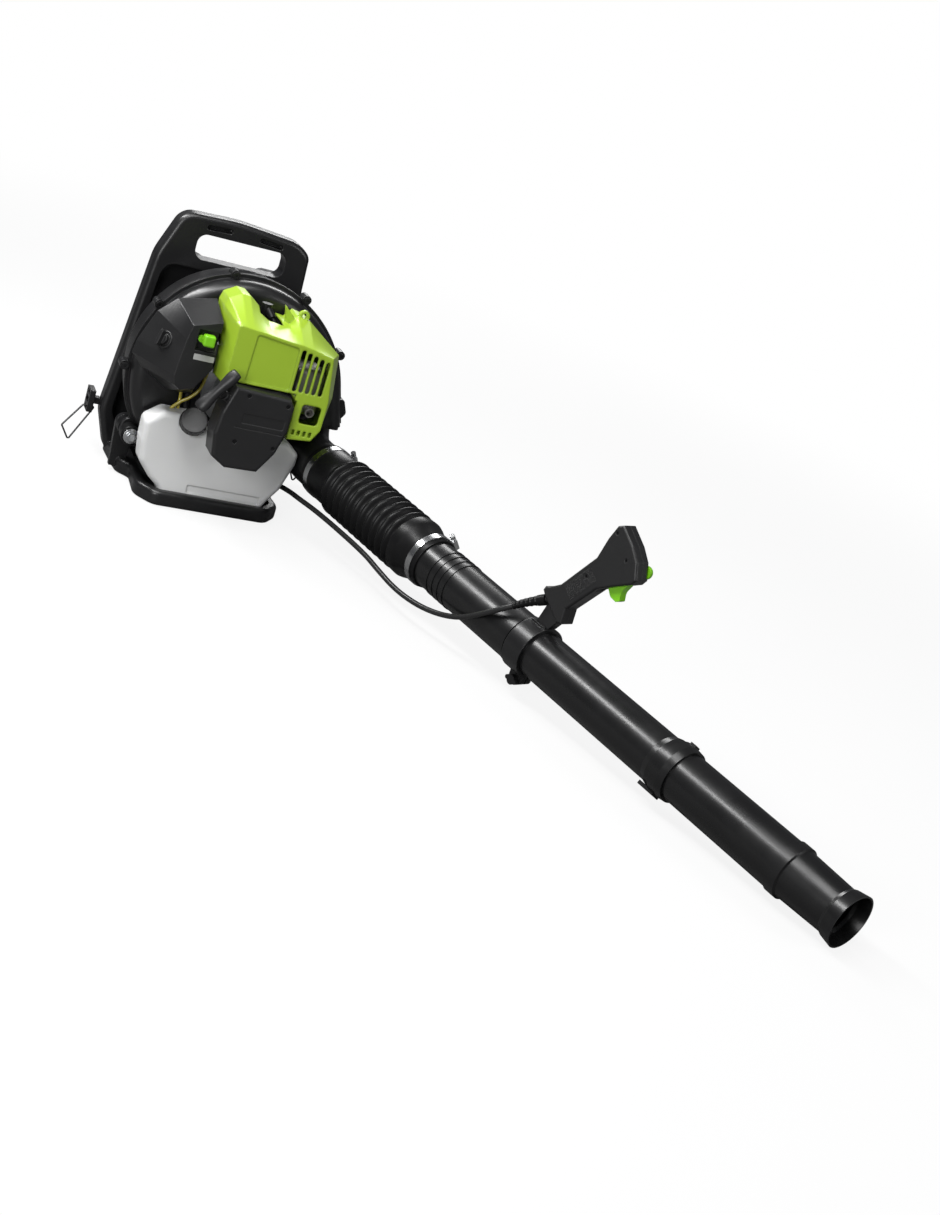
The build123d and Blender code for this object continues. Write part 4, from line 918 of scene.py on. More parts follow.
    def _inflate(self, pad: Piece, back: float) -> None:
        """Swell the pad with a pressurised cloth held at its back and seams.

        Args:
            pad: The pad.
            back: Where its outer face starts.
        """
        rest = [vertex.co.copy() for vertex in pad.data.vertices]
        seam_half = self.pad_size[0] / 2 - self.held_end
        held = pad.vertex_groups.new(name="held")
        for vertex in pad.data.vertices:
            if vertex.co.y <= back - self.SLACK:
                held.add([vertex.index], 1.0, "REPLACE")
            elif self._dip(vertex.co.z) > self.held_dip and abs(vertex.co.x) < seam_half:
                held.add([vertex.index], 1.0, "REPLACE")
                vertex.co.y -= self.seam_depth
        cloth = pad.modifiers.new("cloth", "CLOTH")
        settings = cloth.settings
        settings.quality = 6
        settings.mass = 0.25
        settings.tension_stiffness = settings.compression_stiffness = 12.0
        settings.shear_stiffness = 5.0
        settings.bending_stiffness = 0.6
        settings.use_pressure = True
        settings.uniform_pressure_force = 4.0
        settings.shrink_min = -0.03
        settings.vertex_group_mass = "held"
        settings.effector_weights.gravity = 0.0
        cloth.collision_settings.use_collision = False
        cloth.collision_settings.use_self_collision = False
        cloth.point_cache.frame_start, cloth.point_cache.frame_end = 1, self.FRAMES
        scene = bpy.context.scene
        for number in range(1, self.FRAMES + 1):
            scene.frame_set(number)
        swollen = pad.evaluated_get(bpy.context.evaluated_depsgraph_get())
        for vertex, start, soft in zip(pad.data.vertices, rest, swollen.data.vertices):
            moved = soft.co - start
            if moved.length > self.most_swell:
                moved = moved.normalized() * self.most_swell
            place = start + moved
            place.y = max(self.panel_y, place.y)
            vertex.co = place
        pad.modifiers.remove(cloth)
        pad.vertex_groups.clear()
        scene.frame_set(1)

    def piping(self) -> Piece:
        """Bind the pad's edge.

        Returns:
            The binding, a bead round the pad.
        """
        wide, thick, high = self.pad_size
        half_wide, half_deep = self.piping_size
        inset = 2 * self.piping_inset
        outline = Mesher.rounded_box(wide - inset, high - inset, self.piping_corner, steps=8)
        middle = Vector((0.0, self.panel_y + self.piping_share * thick, self.pad_middle))
        rings = []
        for i, (x, z) in enumerate(outline):
            before, after = outline[i - 1], outline[(i + 1) % len(outline)]
            outward = Vector((after[0] - before[0], 0.0, after[1] - before[1])).normalized().cross(REARWARD)
            rings.append(Mesher.circle(middle + Vector((x, 0, z)), outward * half_wide, REARWARD * half_deep,
                                       1.0, 10))
        return Mesher.loft("pad_binding", rings, smooth=50.0, closed=True)

    def channel_stitches(self, index: int, height: float) -> Piece:
        """Sew one channel.

        Args:
            index: The channel's number.
            height: Its height above the pad's middle.

        Returns:
            The row of stitches.
        """
        half = self.pad_size[0] / 2 - self.channel_end
        depth = self.panel_y + self.side_share * self.pad_size[1] - self.stitch_sink
        ends = []
        for i in range(int(2 * half / self.stitch_pitch)):
            start = Vector((-half + self.stitch_pitch * i, depth, self.pad_middle + height))
            ends.append((start, start + RIGHT * self.stitch))
        return self.stitches(f"pad_stitches_{index + 1}", ends, REARWARD)

    @staticmethod
    def stitches(name: str, ends: list[tuple[Vector, Vector]], outward: Vector) -> Piece:
        """Lay short threads between pairs of points.

        Args:
            name: The piece's name.
            ends: Start and end of each stitch.
            outward: The side the thread bulges to.

        Returns:
            The stitches as one piece.
        """
        def build(shape: Shape) -> None:
            """Fill the mesh."""
            for start, end in ends:
                across = (end - start).normalized().cross(outward).normalized()
                rings = []
                for share, size in ((0.0, 0.00025), (0.2, 0.0006), (0.8, 0.0006), (1.0, 0.00025)):
                    middle = start.lerp(end, share) + outward * 0.0005 * math.sin(math.pi * share)
                    rings.append(Mesher.circle(middle, across, outward, size, 6))
                Mesher.skin(shape, rings)

        return Mesher.add(name, build, 60.0)

    def strap(self, hand: int, label: str) -> None:
        """Make one shoulder strap: padding above, webbing below, a sewn tape over the padding.

        Args:
            hand: -1 for the left, 1 for the right.
            label: The strap's side in its pieces' names.
        """
        x = hand * self.strap_x
        line = Mesher.read_line([(x, y, z) for y, z in self.strap_line])
        split = round(len(line) * self.padded_share)
        padded, below = line[:split], line[split - self.lap:]
        pad = self.ribbon(f"strap_pad_{label}", padded, self.strap_width, self.strap_thick, self.strap_crown)
        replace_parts(self.fit(pad, PAD), "shoulder_straps")
        face = self._lifted(padded[self.overlay_skip:], self.strap_thick / 2 - self.overlay_sink)
        for part, course, thick in (("webbing", below, self.web_thick),
                                    ("overlay", face, self.overlay_thick)):
            tape = self.ribbon(f"strap_{part}_{label}", course, self.web_width, thick, self.tape_crown)
            self.fit(tape, WEB)
        top, foot = self.seam_skip
        seam = self._lifted(padded[top:-foot], self.strap_thick / 2 + self.seam_rise)
        ends = []
        for edge in (-1, 1):
            aside = RIGHT * edge * (self.web_width / 2 - self.strap_hem)
            ends += [(a + aside, b + aside)
                     for a, b in self._paces(seam, self.strap_stitch, self.strap_pitch)]
        self.fit(self.stitches(f"strap_stitches_{label}", ends, Vector((0, 1, 0.001))), THREAD)

    @staticmethod
    def _paces(line: list[Vector], length: float, pitch: float) -> list[tuple[Vector, Vector]]:
        """Divide a line into even stitches.

        Args:
            line: Points along it.
            length: Each stitch's length.
            pitch: From the start of one stitch to the next.

        Returns:
            Start and end of each stitch.
        """
        far = [0.0]
        for a, b in zip(line, line[1:]):
            far.append(far[-1] + (b - a).length)

        def at(distance: float) -> Vector:
            """Return the point at a distance along the line."""
            index = max(i for i, value in enumerate(far) if value <= distance)
            index = min(index, len(line) - 2)
            share = (distance - far[index]) / (far[index + 1] - far[index])
            return line[index].lerp(line[index + 1], share)

        return [(at(pitch * i), at(pitch * i + length)) for i in range(int((far[-1] - length) / pitch))]

    @staticmethod
    def _lifted(line: list[Vector], amount: float) -> list[Vector]:
        """Move a line in the strap's plane to its outer side.

        Args:
            line: Points along the strap's middle.
            amount: How far out.

        Returns:
            The moved points.
        """
        return [point + ahead.cross(-RIGHT) * amount for point, ahead in zip(line, Mesher.headings(line))]

    @classmethod
    def ribbon(cls, name: str, line: list[Vector], width: float, thick: float, crown: float) -> Piece:
        """Skin a flat strap along a line, its edges level with X.

        Args:
            name: The piece's name.
            line: Points along its middle.
            width: Its width.
            thick: Its thickness in the middle.
            crown: 0 for square edges, 1 for a lens-shaped section.

        Returns:
            The strap.
        """
        last = cls.RIB_POINTS - 1
        section = []
        for side in (1, -1):
            for k in range(cls.RIB_POINTS):
                across = side * (1 - 2 * k / last)
                swell = (1 - crown) + crown * math.sqrt(max(0.0, 1 - across ** 4))
                edge = cls.SELVEDGE if k in (0, last) else 1.0
                section.append((across * width / 2, side * thick / 2 * swell * edge))
        rings = []
        for point, ahead in zip(line, Mesher.headings(line)):
            out = ahead.cross(-RIGHT)
            rings.append([point + RIGHT * x + out * rise for x, rise in section])
        return Mesher.loft(name, rings, smooth=60.0)


@dataclass
class FanHousing(SubAssembly):
    """The scroll with its fan, inlet grille and outlet elbow.

    Attributes:
        mount: Middle of the front isolator's outer face.
        washer_profile: The dished washer's closed outline, as (radius, height over the seat).
        bolt_profile: The bolt head's outline, as (radius or half its width, height, whether it is hexagonal).
        steps: Points round both.
    """

    mount: Point = (-0.1450, -0.052, 0.0880)
    washer_profile: tuple[Flat, ...] = (
        (0.0050, 0.0001), (0.0050, 0.0012), (0.0090, 0.0016), (0.0118, 0.0012), (0.0136, 0.0004),
        (0.0136, -0.0004), (0.0115, 0.0001))
    bolt_profile: tuple[tuple[float, float, bool], ...] = (
        (0.0102, 0.0012, False), (0.0102, 0.0024, False), (0.0092, 0.0030, False), (0.0080, 0.0031, True),
        (0.0080, 0.0072, True), (0.0072, 0.0082, True), (0.0030, 0.0084, False))
    steps: int = 48

    def build(self) -> None:
        """Dress the fan housing."""
        self.dress(BLACK, "volute_rear", "volute_front", "outlet_elbow", "inlet_guard")
        self.dress(DARK, "impeller")
        self.dress(SCREW, "case_screws", edge=0.0004)
        self.fit(self.mount_washer(), ZINC)
        self.fit(self.mount_bolt(), STEEL)

    def mount_washer(self) -> Piece:
        """Make the dished washer over the front isolator.

        Returns:
            The washer.
        """
        seat = Vector(self.mount)
        rings = [Mesher.circle(seat - REARWARD * height, RIGHT, UP, radius, self.steps)
                 for radius, height in self.washer_profile]
        return Mesher.loft("mount_washer", rings, smooth=40.0, closed=True)

    def mount_bolt(self) -> Piece:
        """Make the flanged hexagon bolt in the washer.

        Returns:
            The bolt's head.
        """
        side = math.pi / 6
        rings = []
        for size, height, hexagonal in self.bolt_profile:
            middle = Vector(self.mount) - REARWARD * height
            ring = []
            for turn in (FULL_TURN * k / self.steps for k in range(self.steps)):
                reach = size * math.cos(side) / math.cos(turn % (2 * side) - side) if hexagonal else size
                ring.append(middle + (RIGHT * math.cos(turn) + UP * math.sin(turn)) * reach)
            rings.append(ring)
        return Mesher.loft("mount_bolt", rings, smooth=30.0)


@dataclass
class Engine(SubAssembly):
    """Crankcase, cylinder, ignition, muffler and the covers.

    Attributes:
        label_low: Lowest corner of the blank label on the filter cover, as (x, z).
        label_high: Its highest corner.
        label_corner: Radius of its corners.
        label_back: Its rear face, just inside the filter cover's front.
        label_thick: Its thickness.
        lead: Control points of the lead from the coil to the plug boot.
        lead_radius: The lead's radius.
        knob_place: Where the knob's axis leaves the filter cover.
        knob_axis: The axis's direction.
        knob_seat_profile: Closed outline of the ring round the knob, as (radius, height along the axis).
    """

    label_low: Flat = (-0.101, 0.2705)
    label_high: Flat = (-0.0665, 0.2805)
    label_corner: float = 0.0015
    label_back: float = -0.1499
    label_thick: float = 0.0004
    lead: tuple[Point, ...] = ((0.042, -0.152, 0.276), (0.042, -0.152, 0.300), (0.042, -0.154, 0.322),
                               (0.0292, -0.1365, 0.3447), (0.0196, -0.1193, 0.3583))
    lead_radius: float = 0.003
    knob_place: Point = (-0.1459, -0.1155, 0.2839)
    knob_axis: Point = (-0.7621, -0.5741, 0.2994)
    knob_seat_profile: tuple[Flat, ...] = ((0.0100, -0.0062), (0.0100, -0.0004), (0.0112, 0.0004),
                                           (0.0138, 0.0004), (0.0150, -0.0008), (0.0158, -0.0062))

    def build(self) -> None:
        """Dress the engine."""
        self.dress(CAST, "crankcase", "cylinder", "piston", "flywheel", "carburettor")
        self.dress(STEEL, "crankshaft", "main_bearings", "connecting_rod", "spark_plug", "throttle_arm")
        self.dress(RUBBER, "plug_boot")
        self.cord("ignition_lead", self.lead, self.lead_radius, RUBBER, "plug_lead")
        self.dress(DARK, "ignition_coil", "intake_insulator", "air_filter_base")
        self.dress(PAPER, "air_filter")
        self.dress(MUFFLER, "muffler")
        self.dress(GREEN, "engine_cover", edge=0.0015)
        self.dress(DARK, "air_filter_cover", edge=0.0015)
        self.dress(DARK, "cover_knob", edge=0.0008)
        self.dress(LIME, "choke_lever")
        self.fit(self.label(), LABEL)
        self.fit(self.knob_seat(), DARK)

    def knob_seat(self) -> Piece:
        """Make the raised ring round the filter cover's knob.

        Returns:
            The ring.
        """
        axis = Vector(self.knob_axis).normalized()
        across = axis.orthogonal().normalized()
        other = axis.cross(across)
        rings = [Mesher.circle(Vector(self.knob_place) + axis * height, across, other, radius, steps=48)
                 for radius, height in self.knob_seat_profile]
        return Mesher.loft("knob_seat_ring", rings, smooth=40.0, closed=True)

    def label(self) -> Piece:
        """Stick the blank label on the filter cover.

        Returns:
            The label.
        """
        (x0, z0), (x1, z1) = self.label_low, self.label_high
        middle = Vector(((x0 + x1) / 2, self.label_back, (z0 + z1) / 2))
        outline = Mesher.rounded_box(x1 - x0, z1 - z0, self.label_corner)
        rings = [[middle + Vector((x, -out, z)) for x, z in outline] for out in (0.0, self.label_thick)]
        return Mesher.loft("blank_label", rings, smooth=20.0)


@dataclass
class Starter(SubAssembly):
    """Recoil starter with its grip and rope.

    Attributes:
        grip: Middle of the T-grip.
        pull: Direction of the pull.
        stem: From the grip's middle to its stem's end.
        inside: From the grip's middle to the rope's end in the guide.
        rope_radius: The rope's radius.
        rope_steps: Rings along the rope.
        strands: Bulges of the rope's lay along it.
        lay_depth: How much thinner the rope is between bulges, as a share of its radius.
    """

    grip: Point = (-0.064, -0.213, 0.245)
    pull: Point = (-0.75, -0.52, 0.41)
    stem: float = 0.013
    inside: float = 0.038
    rope_radius: float = 0.0018
    rope_steps: int = 60
    strands: int = 28
    lay_depth: float = 0.1

    def build(self) -> None:
        """Dress the starter."""
        self.dress(DARK, "starter_housing", edge=0.001)
        self.dress(DARK, "starter_pulley", "starter_grip")
        self.dress(STEEL, "recoil_spring")
        self.rope()

    def rope(self) -> None:
        """Lay the rope from inside the guide to the grip's stem."""
        pull = Vector(self.pull).normalized()
        start, end = Vector(self.grip) - pull * self.inside, Vector(self.grip) - pull * self.stem
        line = [start.lerp(end, i / self.rope_steps) for i in range(self.rope_steps + 1)]

        def radius(share: float) -> float:
            """Return the radius at a share of the line."""
            bulge = abs(math.sin(share * self.strands * math.pi))
            return self.rope_radius * (1 - self.lay_depth * (1 - bulge))

        rope = Mesher.round_tube("pull_rope", line, radius, around=12)
        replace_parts(rope, "starter_rope")
        self.stretch(rope, ROPE, ("chassis", "rope_grip"), (start, end))


@dataclass
class FuelSystem(SubAssembly):
    """Tank, cap and fuel lines.

    Attributes:
        supply: Control points of the line from the tank to the carburettor.
        back: Control points of the return line.
        line_radius: Their radius.
    """

    supply: tuple[Point, ...] = ((-0.101, -0.083, 0.158), (-0.090, -0.086, 0.175), (-0.072, -0.090, 0.188),
                                 (-0.056, -0.092, 0.212), (-0.054, -0.092, 0.265))
    back: tuple[Point, ...] = ((-0.086, -0.078, 0.158), (-0.086, -0.078, 0.172), (-0.085, -0.0676, 0.190),
                               (-0.084, -0.0676, 0.208), (-0.080, -0.078, 0.232), (-0.080, -0.092, 0.252),
                               (-0.080, -0.092, 0.264))
    line_radius: float = 0.0028

    def build(self) -> None:
        """Dress the fuel system."""
        self.dress(TANK, "fuel_tank", edge=0.0008)
        self.dress(DARK, "fuel_cap", edge=0.0006)
        self.cord("fuel_line_supply", self.supply, self.line_radius, LINE, "fuel_lines")
        self.cord("fuel_line_return", self.back, self.line_radius, LINE, "fuel_lines")


@dataclass
class BlowerTube(SubAssembly):
    """Bellows, clamps, tubes, nozzle and the control handle.

    Attributes:
        cuff_start: Station where the rear cuff starts.
        first_ridge: Station of the first ridge.
        pitch: From one ridge to the next.
        ridges: Number of ridges.
        ridge_steps: Rings along each ridge.
        crest: Radius of the ridges.
        root: Radius between them.
        breadth: Exponent of the ridges' wave, below 1 for ridges broader than the valleys.
        bore: Inner radius.
        cuff: Outer radius of the rear cuff.
        bead: How far the rear cuff's bead stands out.
        end: Station where the front cuff ends.
        front_cuff: Its outer radius.
        front_bore: Its inner radius.
        tube_start: Station where the rear tube starts.
        flex: How far each side of the joint the hose bends.
        cable_radius: The throttle cable's radius.
        cable_joint: The cable's height and side at the joint.
        behind: Control points of the cable from the engine to the hose.
        along_rear: The same beside the hose's rear half, as (station, height, side).
        along_front: The same from the joint to the handle.
        handle_half: Half the handle's thickness.
        grip_corner: Station and height of the grip texture's first corner.
        grip_slope: Direction of the grip, as (station, height).
        grip_long: Length of the texture.
        grip_wide: Its width.
        stud: Pitch of its diamonds.
        stud_reach: Half a diamond's diagonal at its foot and at its top, as shares of the pitch.
        stud_rise: How far out of the handle's side its foot and its top lie.
        grip_screw: Station and height of the screw that the texture leaves free.
        screw_margin: From the screw's centre to the nearest diamond.
        boot_start: Station where the cable's boot starts.
        boot_end: Station where it enters the handle.
        boot_ribs: Ribs round the boot.
        boot_rib: How far they stand out.
        boot_steps: Rings between two points of the cable's line.
        boot_wall: The boot's wall at its thin end.
        boot_taper: How much thicker it is at the handle.
        collar_share: How far along the boot its collar starts.
        collar: How far the collar stands out.
    """

    cuff_start: float = 0.064
    first_ridge: float = 0.140
    pitch: float = 0.0185
    ridges: int = 11
    ridge_steps: int = 12
    crest: float = 0.054
    root: float = 0.0462
    breadth: float = 0.75
    bore: float = 0.0452
    cuff: float = 0.048
    bead: float = 0.0006
    end: float = 0.405
    front_cuff: float = 0.0445
    front_bore: float = 0.0411
    tube_start: float = 0.374
    flex: float = 0.095
    cable_radius: float = 0.0045
    cable_joint: Flat = (-0.046, 0.046)
    behind: tuple[Point, ...] = (
        (-0.070, -0.082, 0.262), (-0.070, -0.082, 0.236), (-0.072, -0.067, 0.206), (-0.072, -0.066, 0.156),
        (-0.046, -0.066, 0.110), (0.010, -0.066, 0.076), (0.070, -0.066, 0.060), (0.118, -0.062, 0.057),
        (0.141, -0.095, 0.057))
    along_rear: tuple[Point, ...] = ((0.078, -0.052, 0.046), (0.125, -0.048, 0.046), (0.185, -0.046, 0.046))
    along_front: tuple[Point, ...] = (
        (0.285, -0.046, 0.046), (0.335, -0.050, 0.050), (0.385, -0.055, 0.050), (0.430, -0.053, 0.048),
        (0.470, -0.046, 0.046), (0.510, -0.033, 0.045), (0.548, -0.013, 0.047), (0.582, 0.014, 0.046),
        (0.612, 0.042, 0.036), (0.640, 0.072, 0.014), (0.674, 0.095, 0.004))
    handle_half: float = 0.014
    grip_corner: Flat = (0.6853, 0.1247)
    grip_slope: Flat = (0.523, 0.852)
    grip_long: float = 0.060
    grip_wide: float = 0.026
    stud: float = 0.0032
    stud_reach: Flat = (0.44, 0.2)
    stud_rise: Flat = (-0.0003, 0.0006)
    grip_screw: Flat = (0.716, 0.158)
    screw_margin: float = 0.0052
    boot_start: float = 0.618
    boot_end: float = 0.662
    boot_ribs: int = 7
    boot_rib: float = 0.0007
    boot_steps: int = 6
    boot_wall: float = 0.0006
    boot_taper: float = 0.0026
    collar_share: float = 0.8
    collar: float = 0.0012

    REAR, FRONT = ("chassis", "hose_middle"), ("hose_middle", "blower_tube")

    def build(self) -> None:
        """Dress the tube and its handle."""
        self.bellows()
        self.cables()
        self.dress(ZINC, "elbow_clamp", "tube_clamp", edge=0.0004)
        self.dress(SCREW, "clamp_bolt", "handle_screws", edge=0.0004)
        self.dress(TUBE, "tube_rear", "tube_middle", "tube_front", "nozzle", edge=0.0005)
        self.dress(BLACK, "handle_clamp", edge=0.0008)
        self.dress(DARK, "handle_left", "handle_right", edge=0.0012)
        self.dress(LIME, "trigger", "stop_button", edge=0.0006)
        self.dress(STEEL, "trigger_spring")
        self.fit(self.grip_texture(), DARK, "blower_tube")

    def grip_texture(self) -> Piece:
        """Emboss the grip's two sides with a lattice of small diamonds.

        Returns:
            The diamonds as one piece.
        """
        ds, dh = self.grip_slope
        forward, side, up = TUBE_LINE.axes()
        along, across = forward * ds + up * dh, forward * dh - up * ds

        def build(shape: Shape) -> None:
            """Fill the mesh."""
            for face in (-1, 1):
                for station, height in self.studs():
                    place = TUBE_LINE.at(station, height, face * self.handle_half)
                    Mesher.skin(shape, [
                        Mesher.circle(place + side * face * out, along, across, reach * self.stud, 4)
                        for reach, out in zip(self.stud_reach, self.stud_rise)])

        return Mesher.add("grip_diamonds", build, None)

    def studs(self) -> list[Flat]:
        """Return the station and height of every diamond on one side of the grip."""
        (s0, h0), (ds, dh) = self.grip_corner, self.grip_slope
        rows, columns = int(self.grip_long / self.stud * 2), int(self.grip_wide / self.stud)
        places = []
        for row in range(rows):
            for column in range(columns - row % 2):
                along, across = self.stud * row / 2, self.stud * (column + 0.5 * (row % 2) + 0.5)
                place = s0 + ds * along + dh * across, h0 + dh * along - ds * across
                if math.dist(place, self.grip_screw) >= self.screw_margin:
                    places.append(place)
        return places

    def joint_station(self) -> float:
        """Return the station of the two joints in the hose's middle."""
        return self.first_ridge + (self.ridges // 2) * self.pitch

    def flexing(self, reach: float) -> tuple[Vector, Vector]:
        """Return the rear and front ends of the stretch that bends on one side of the joints.

        Args:
            reach: Its length, negative towards the engine.

        Returns:
            Two points on the tube's axis.
        """
        near, far = sorted((self.joint_station(), self.joint_station() + reach))
        return TUBE_LINE.at(near), TUBE_LINE.at(far)

    def ridged(self, start: float, end: float) -> list[Flat]:
        """Return the hose's outline over a stretch of ridges, highest on each ridge.

        Args:
            start: Station where the stretch starts.
            end: Station where it ends.

        Returns:
            Points of the outline, as (station, radius).
        """
        count = round((end - start) / self.pitch * self.ridge_steps)
        outline = []
        for i in range(count + 1):
            station = start + (end - start) * i / count
            wave = 0.5 + 0.5 * math.cos(FULL_TURN * (station - self.first_ridge) / self.pitch)
            outline.append((station, self.root + (self.crest - self.root) * wave ** self.breadth))
        return outline

    def bellows(self) -> None:
        """Make the ridged hose in two halves that meet at its middle."""
        middle = self.joint_station()
        first, last = self.first_ridge - 0.5 * self.pitch, self.first_ridge + (self.ridges - 0.5) * self.pitch
        inner, crest, cuff = self.bore, self.crest, self.front_cuff
        rear = [(self.cuff_start, inner), (self.cuff_start, self.cuff), (0.066, self.cuff + self.bead),
                (first - 0.008, self.cuff + self.bead), (first - 0.003, self.cuff - 0.001),
                *self.ridged(first, middle), (middle, inner)]
        front = [(middle, inner), *self.ridged(middle, last), (last + 0.004, crest - 0.001),
                 (last + 0.018, crest - 0.0004), (last + 0.024, crest - 0.002), (last + 0.040, cuff + 0.0012),
                 (self.end - 0.002, cuff), (self.end, cuff - 0.001), (self.end, self.front_bore),
                 (self.tube_start, self.front_bore), (self.tube_start - 0.016, inner)]
        for name, profile, bodies, nodes, reach in (
                ("hose_rear_half", rear, self.REAR, ("bellows_rear", "bellows_middle"), -self.flex),
                ("hose_front_half", front, self.FRONT, ("bellows_front",), self.flex)):
            piece = Mesher.turned(name, profile, around=80)
            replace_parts(piece, *nodes)
            self.stretch(piece, RUBBER, bodies, self.flexing(reach))

    def cables(self) -> None:
        """Lay the throttle cable in two halves that meet at the hose's middle, and its boot."""
        joint = TUBE_LINE.at(self.joint_station(), *self.cable_joint)
        behind = [*self.behind, *(TUBE_LINE.at(*place) for place in self.along_rear), joint]
        ahead = [joint, *(TUBE_LINE.at(*place) for place in self.along_front)]
        for name, route, bodies, node, reach in (
                ("throttle_cable_behind", behind, self.REAR, "throttle_cable_rear", -self.flex),
                ("throttle_cable_ahead", ahead, self.FRONT, "throttle_cable_front", self.flex)):
            line = Mesher.read_line(route)
            piece = Mesher.round_tube(name, line, lambda share: self.cable_radius, around=16)
            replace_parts(piece, node)
            round(Mesher.length(line), 3)
            self.stretch(piece, SHEATH, bodies, self.flexing(reach))
        self.fit(self.cable_boot(Mesher.read_line(ahead)), RUBBER, "blower_tube")

    def cable_boot(self, line: list[Vector]) -> Piece:
        """Make the tapered, ribbed boot where the cable enters the handle.

        Args:
            line: Points along the cable.

        Returns:
            The boot.
        """
        along = TUBE_LINE.axes()[0]
        inside = [point for point in line
                  if self.boot_start < (point - Vector(TUBE_LINE.bend)).dot(along) < self.boot_end]
        fine = [a.lerp(b, k / self.boot_steps)
                for a, b in zip(inside, inside[1:]) for k in range(self.boot_steps)]

        def radius(share: float) -> float:
            """Return the radius at a share of the line."""
            wall = self.boot_wall + self.boot_taper * share
            rib = self.boot_rib * max(0.0, math.sin(share * self.boot_ribs * FULL_TURN))
            return self.cable_radius + wall + (rib if share < self.collar_share else self.collar)

        return Mesher.round_tube("cable_boot", fine, radius, around=24)


@dataclass(frozen=True)
class Softbox:
    """A rectangular area light.

    Attributes:
        name: The light's name.
        place: Where it stands.
        target: What it points at.
        size: Its width and height, in metres.
        power: Its power in watts.
        along: Which way its width runs.
    """

    name: str
    place: Point
    target: Point
    size: Flat
    power: float
    along: Point = (1.0, 0.0, 0.0)

    def build(self) -> None:
        """Hang the light."""
        data = bpy.data.lights.new(self.name, "AREA")
        data.shape = "RECTANGLE"
        data.size, data.size_y = self.size
        data.energy = self.power
        light = bpy.data.objects.new(self.name, data)
        bpy.context.scene.collection.objects.link(light)
        back = (Vector(self.place) - Vector(self.target)).normalized()
        along = Vector(self.along)
        wide = (along - back * along.dot(back)).normalized()
        turn = Matrix((wide, back.cross(wide), back)).transposed().to_4x4()
        light.matrix_world = Matrix.Translation(self.place) @ turn


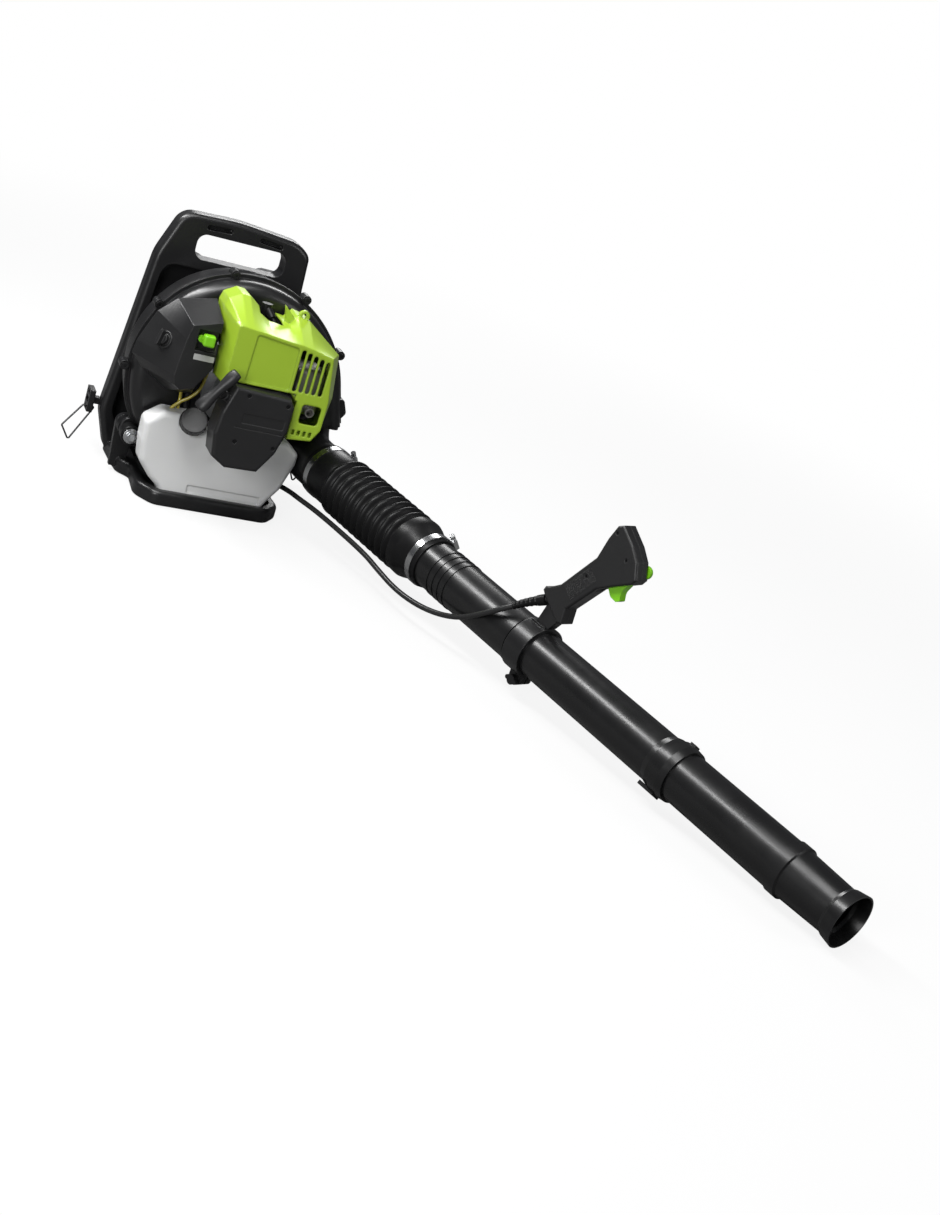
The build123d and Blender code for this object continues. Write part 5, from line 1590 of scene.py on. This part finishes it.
@dataclass
class Studio:
    """Pale floor and backdrop with soft lights.

    Attributes:
        floor_size: Side of the floor, in metres.
        floor_drop: How far the floor lies under the object's base.
        floor_tone: Linear grey of the floor as the camera sees it.
        floor_bounce: Linear grey of the floor to all other light.
        plain: How much of the floor's shading its plain white hides from the camera near the object.
        fade_from: Distance from the object at which the floor starts to fade into the backdrop.
        fade_to: Distance at which it is plain white.
        glow: Strength of the light from all round.
        glow_colour: Its colour.
        lights: The softboxes.
    """

    floor_size: float = 40.0
    floor_drop: float = 0.0006
    floor_tone: float = 0.75
    floor_bounce: float = 0.16
    plain: float = 0.86
    fade_from: float = 1.2
    fade_to: float = 3.0
    glow: float = 0.10
    glow_colour: Point = (0.93, 0.95, 1.0)
    lights: tuple[Softbox, ...] = (
        Softbox("overhead", (-0.4, -1.1, 2.4), (0.1, -0.4, 0.1), (1.3, 1.0), 34.0),
        Softbox("front_left", (-1.9, -2.4, 1.0), (0.0, -0.2, 0.15), (1.0, 1.3), 42.0),
        Softbox("right", (2.0, -2.4, 1.5), (0.1, -0.4, 0.2), (0.7, 1.4), 18.0),
        Softbox("behind", (0.9, 2.3, 1.7), (0.0, 0.0, 0.25), (1.2, 1.0), 34.0),
        Softbox("tube_strip", (-0.85, 0.05, 1.59), tuple(TUBE_LINE.at(0.95)), (1.7, 0.24), 36.0,
                tuple(TUBE_LINE.axes()[0])))

    def build(self) -> None:
        """Set the world, the floor and the lights."""
        self.world()
        self.floor()
        for light in self.lights:
            light.build()

    def world(self) -> None:
        """Make the backdrop: plain white to the camera, a faint glow on the object."""
        world = bpy.data.worlds.new("studio")
        bpy.context.scene.world = world
        world.use_nodes = True
        nodes = Nodes(world.node_tree)
        seen = world.node_tree.nodes["Background"]
        nodes.feed(seen, {"Color": (1.0, 1.0, 1.0, 1.0)})
        glow = nodes.add("Background", {"Color": (*self.glow_colour, 1.0), "Strength": self.glow})
        to_camera = nodes.add("LightPath", {}).outputs["Is Camera Ray"]
        choice = nodes.add("MixShader", {"Fac": to_camera, 1: glow.outputs["Background"],
                                         2: seen.outputs["Background"]})
        nodes.feed(world.node_tree.nodes["World Output"], {"Surface": choice.outputs["Shader"]})

    def floor(self) -> None:
        """Lay the pale floor, which keeps a faint shadow near the object."""
        half = self.floor_size / 2
        corners = [Vector((x, y, -self.floor_drop))
                   for x, y in ((-half, -half), (half, -half), (half, half), (-half, half))]

        def build(shape: Shape) -> None:
            """Fill the mesh."""
            shape.faces.new([shape.verts.new(corner) for corner in corners])

        floor = Mesher.add("studio_floor", build, None)
        material = bpy.data.materials.new("studio_floor")
        material.use_nodes = True
        material.node_tree.nodes.remove(material.node_tree.nodes["Principled BSDF"])
        nodes = Nodes(material.node_tree)
        to_camera = nodes.add("LightPath", {}).outputs["Is Camera Ray"]
        tone = nodes.add("MapRange", {"Value": to_camera, "To Min": self.floor_bounce,
                                      "To Max": self.floor_tone})
        matt = nodes.add("BsdfDiffuse", {"Color": tone.outputs["Result"]})
        away = nodes.add("VectorMath", {0: nodes.add("TexCoord", {}).outputs["Object"]}, operation="LENGTH")
        fade = nodes.add("MapRange", {"Value": away.outputs["Value"], "From Min": self.fade_from,
                                      "From Max": self.fade_to, "To Min": self.plain},
                         interpolation_type="SMOOTHSTEP")
        share = nodes.add("Math", {0: fade.outputs["Result"], 1: to_camera}, operation="MULTIPLY")
        white = nodes.add("Emission", {})
        mix = nodes.add("MixShader", {"Fac": share.outputs["Value"], 1: matt.outputs["BSDF"],
                                      2: white.outputs["Emission"]})
        nodes.feed(material.node_tree.nodes["Material Output"], {"Surface": mix.outputs["Shader"]})
        floor.data.materials.append(material)


@dataclass(frozen=True)
class Viewpoint:
    """The camera.

    Attributes:
        azimuth: Degrees to the left of straight ahead.
        elevation: Degrees above level.
        roll: Degrees the camera is turned about its own axis.
        distance: From the camera to the object's origin plane, in metres.
        shift_right: How far right of the origin the view is centred, in metres.
        shift_up: The same, upwards.
        lens: Focal length on a 36 mm frame's long side.
    """

    azimuth: float = 27.2
    elevation: float = 20.1
    roll: float = 19.0
    distance: float = 2.857
    shift_right: float = 0.495
    shift_up: float = -0.217
    lens: float = 47.1

    def build(self) -> None:
        """Add the camera and make it the scene's."""
        az, el, roll = (math.radians(a) for a in (self.azimuth, self.elevation, self.roll))
        back = Vector((-math.sin(az) * math.cos(el), -math.cos(az) * math.cos(el), math.sin(el)))
        level = Vector((math.cos(az), -math.sin(az), 0.0))
        rise = back.cross(level)
        right = math.cos(roll) * level + math.sin(roll) * rise
        up = -math.sin(roll) * level + math.cos(roll) * rise
        data = bpy.data.cameras.new("camera")
        data.sensor_width = 36.0
        data.sensor_fit = "AUTO"
        data.lens = self.lens
        camera = bpy.data.objects.new("camera", data)
        turn = Matrix((right, up, back)).transposed().to_4x4()
        place = right * self.shift_right + up * self.shift_up + back * self.distance
        camera.matrix_world = Matrix.Translation(place) @ turn
        bpy.context.scene.collection.objects.link(camera)
        bpy.context.scene.camera = camera


def main() -> None:
    """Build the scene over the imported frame."""
    logging.basicConfig(level=logging.INFO, format="%(message)s")
    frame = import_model()
    bpy.context.scene.view_settings.view_transform = "Standard"
    Viewpoint().build()
    finishes = Finishes()
    for assembly in (BlowerTube, FuelSystem, Starter, Engine, FanHousing, CarryingFrame, Harness):
        assembly(frame, finishes).build()
    Studio().build()


if __name__ == "__main__":
    main()
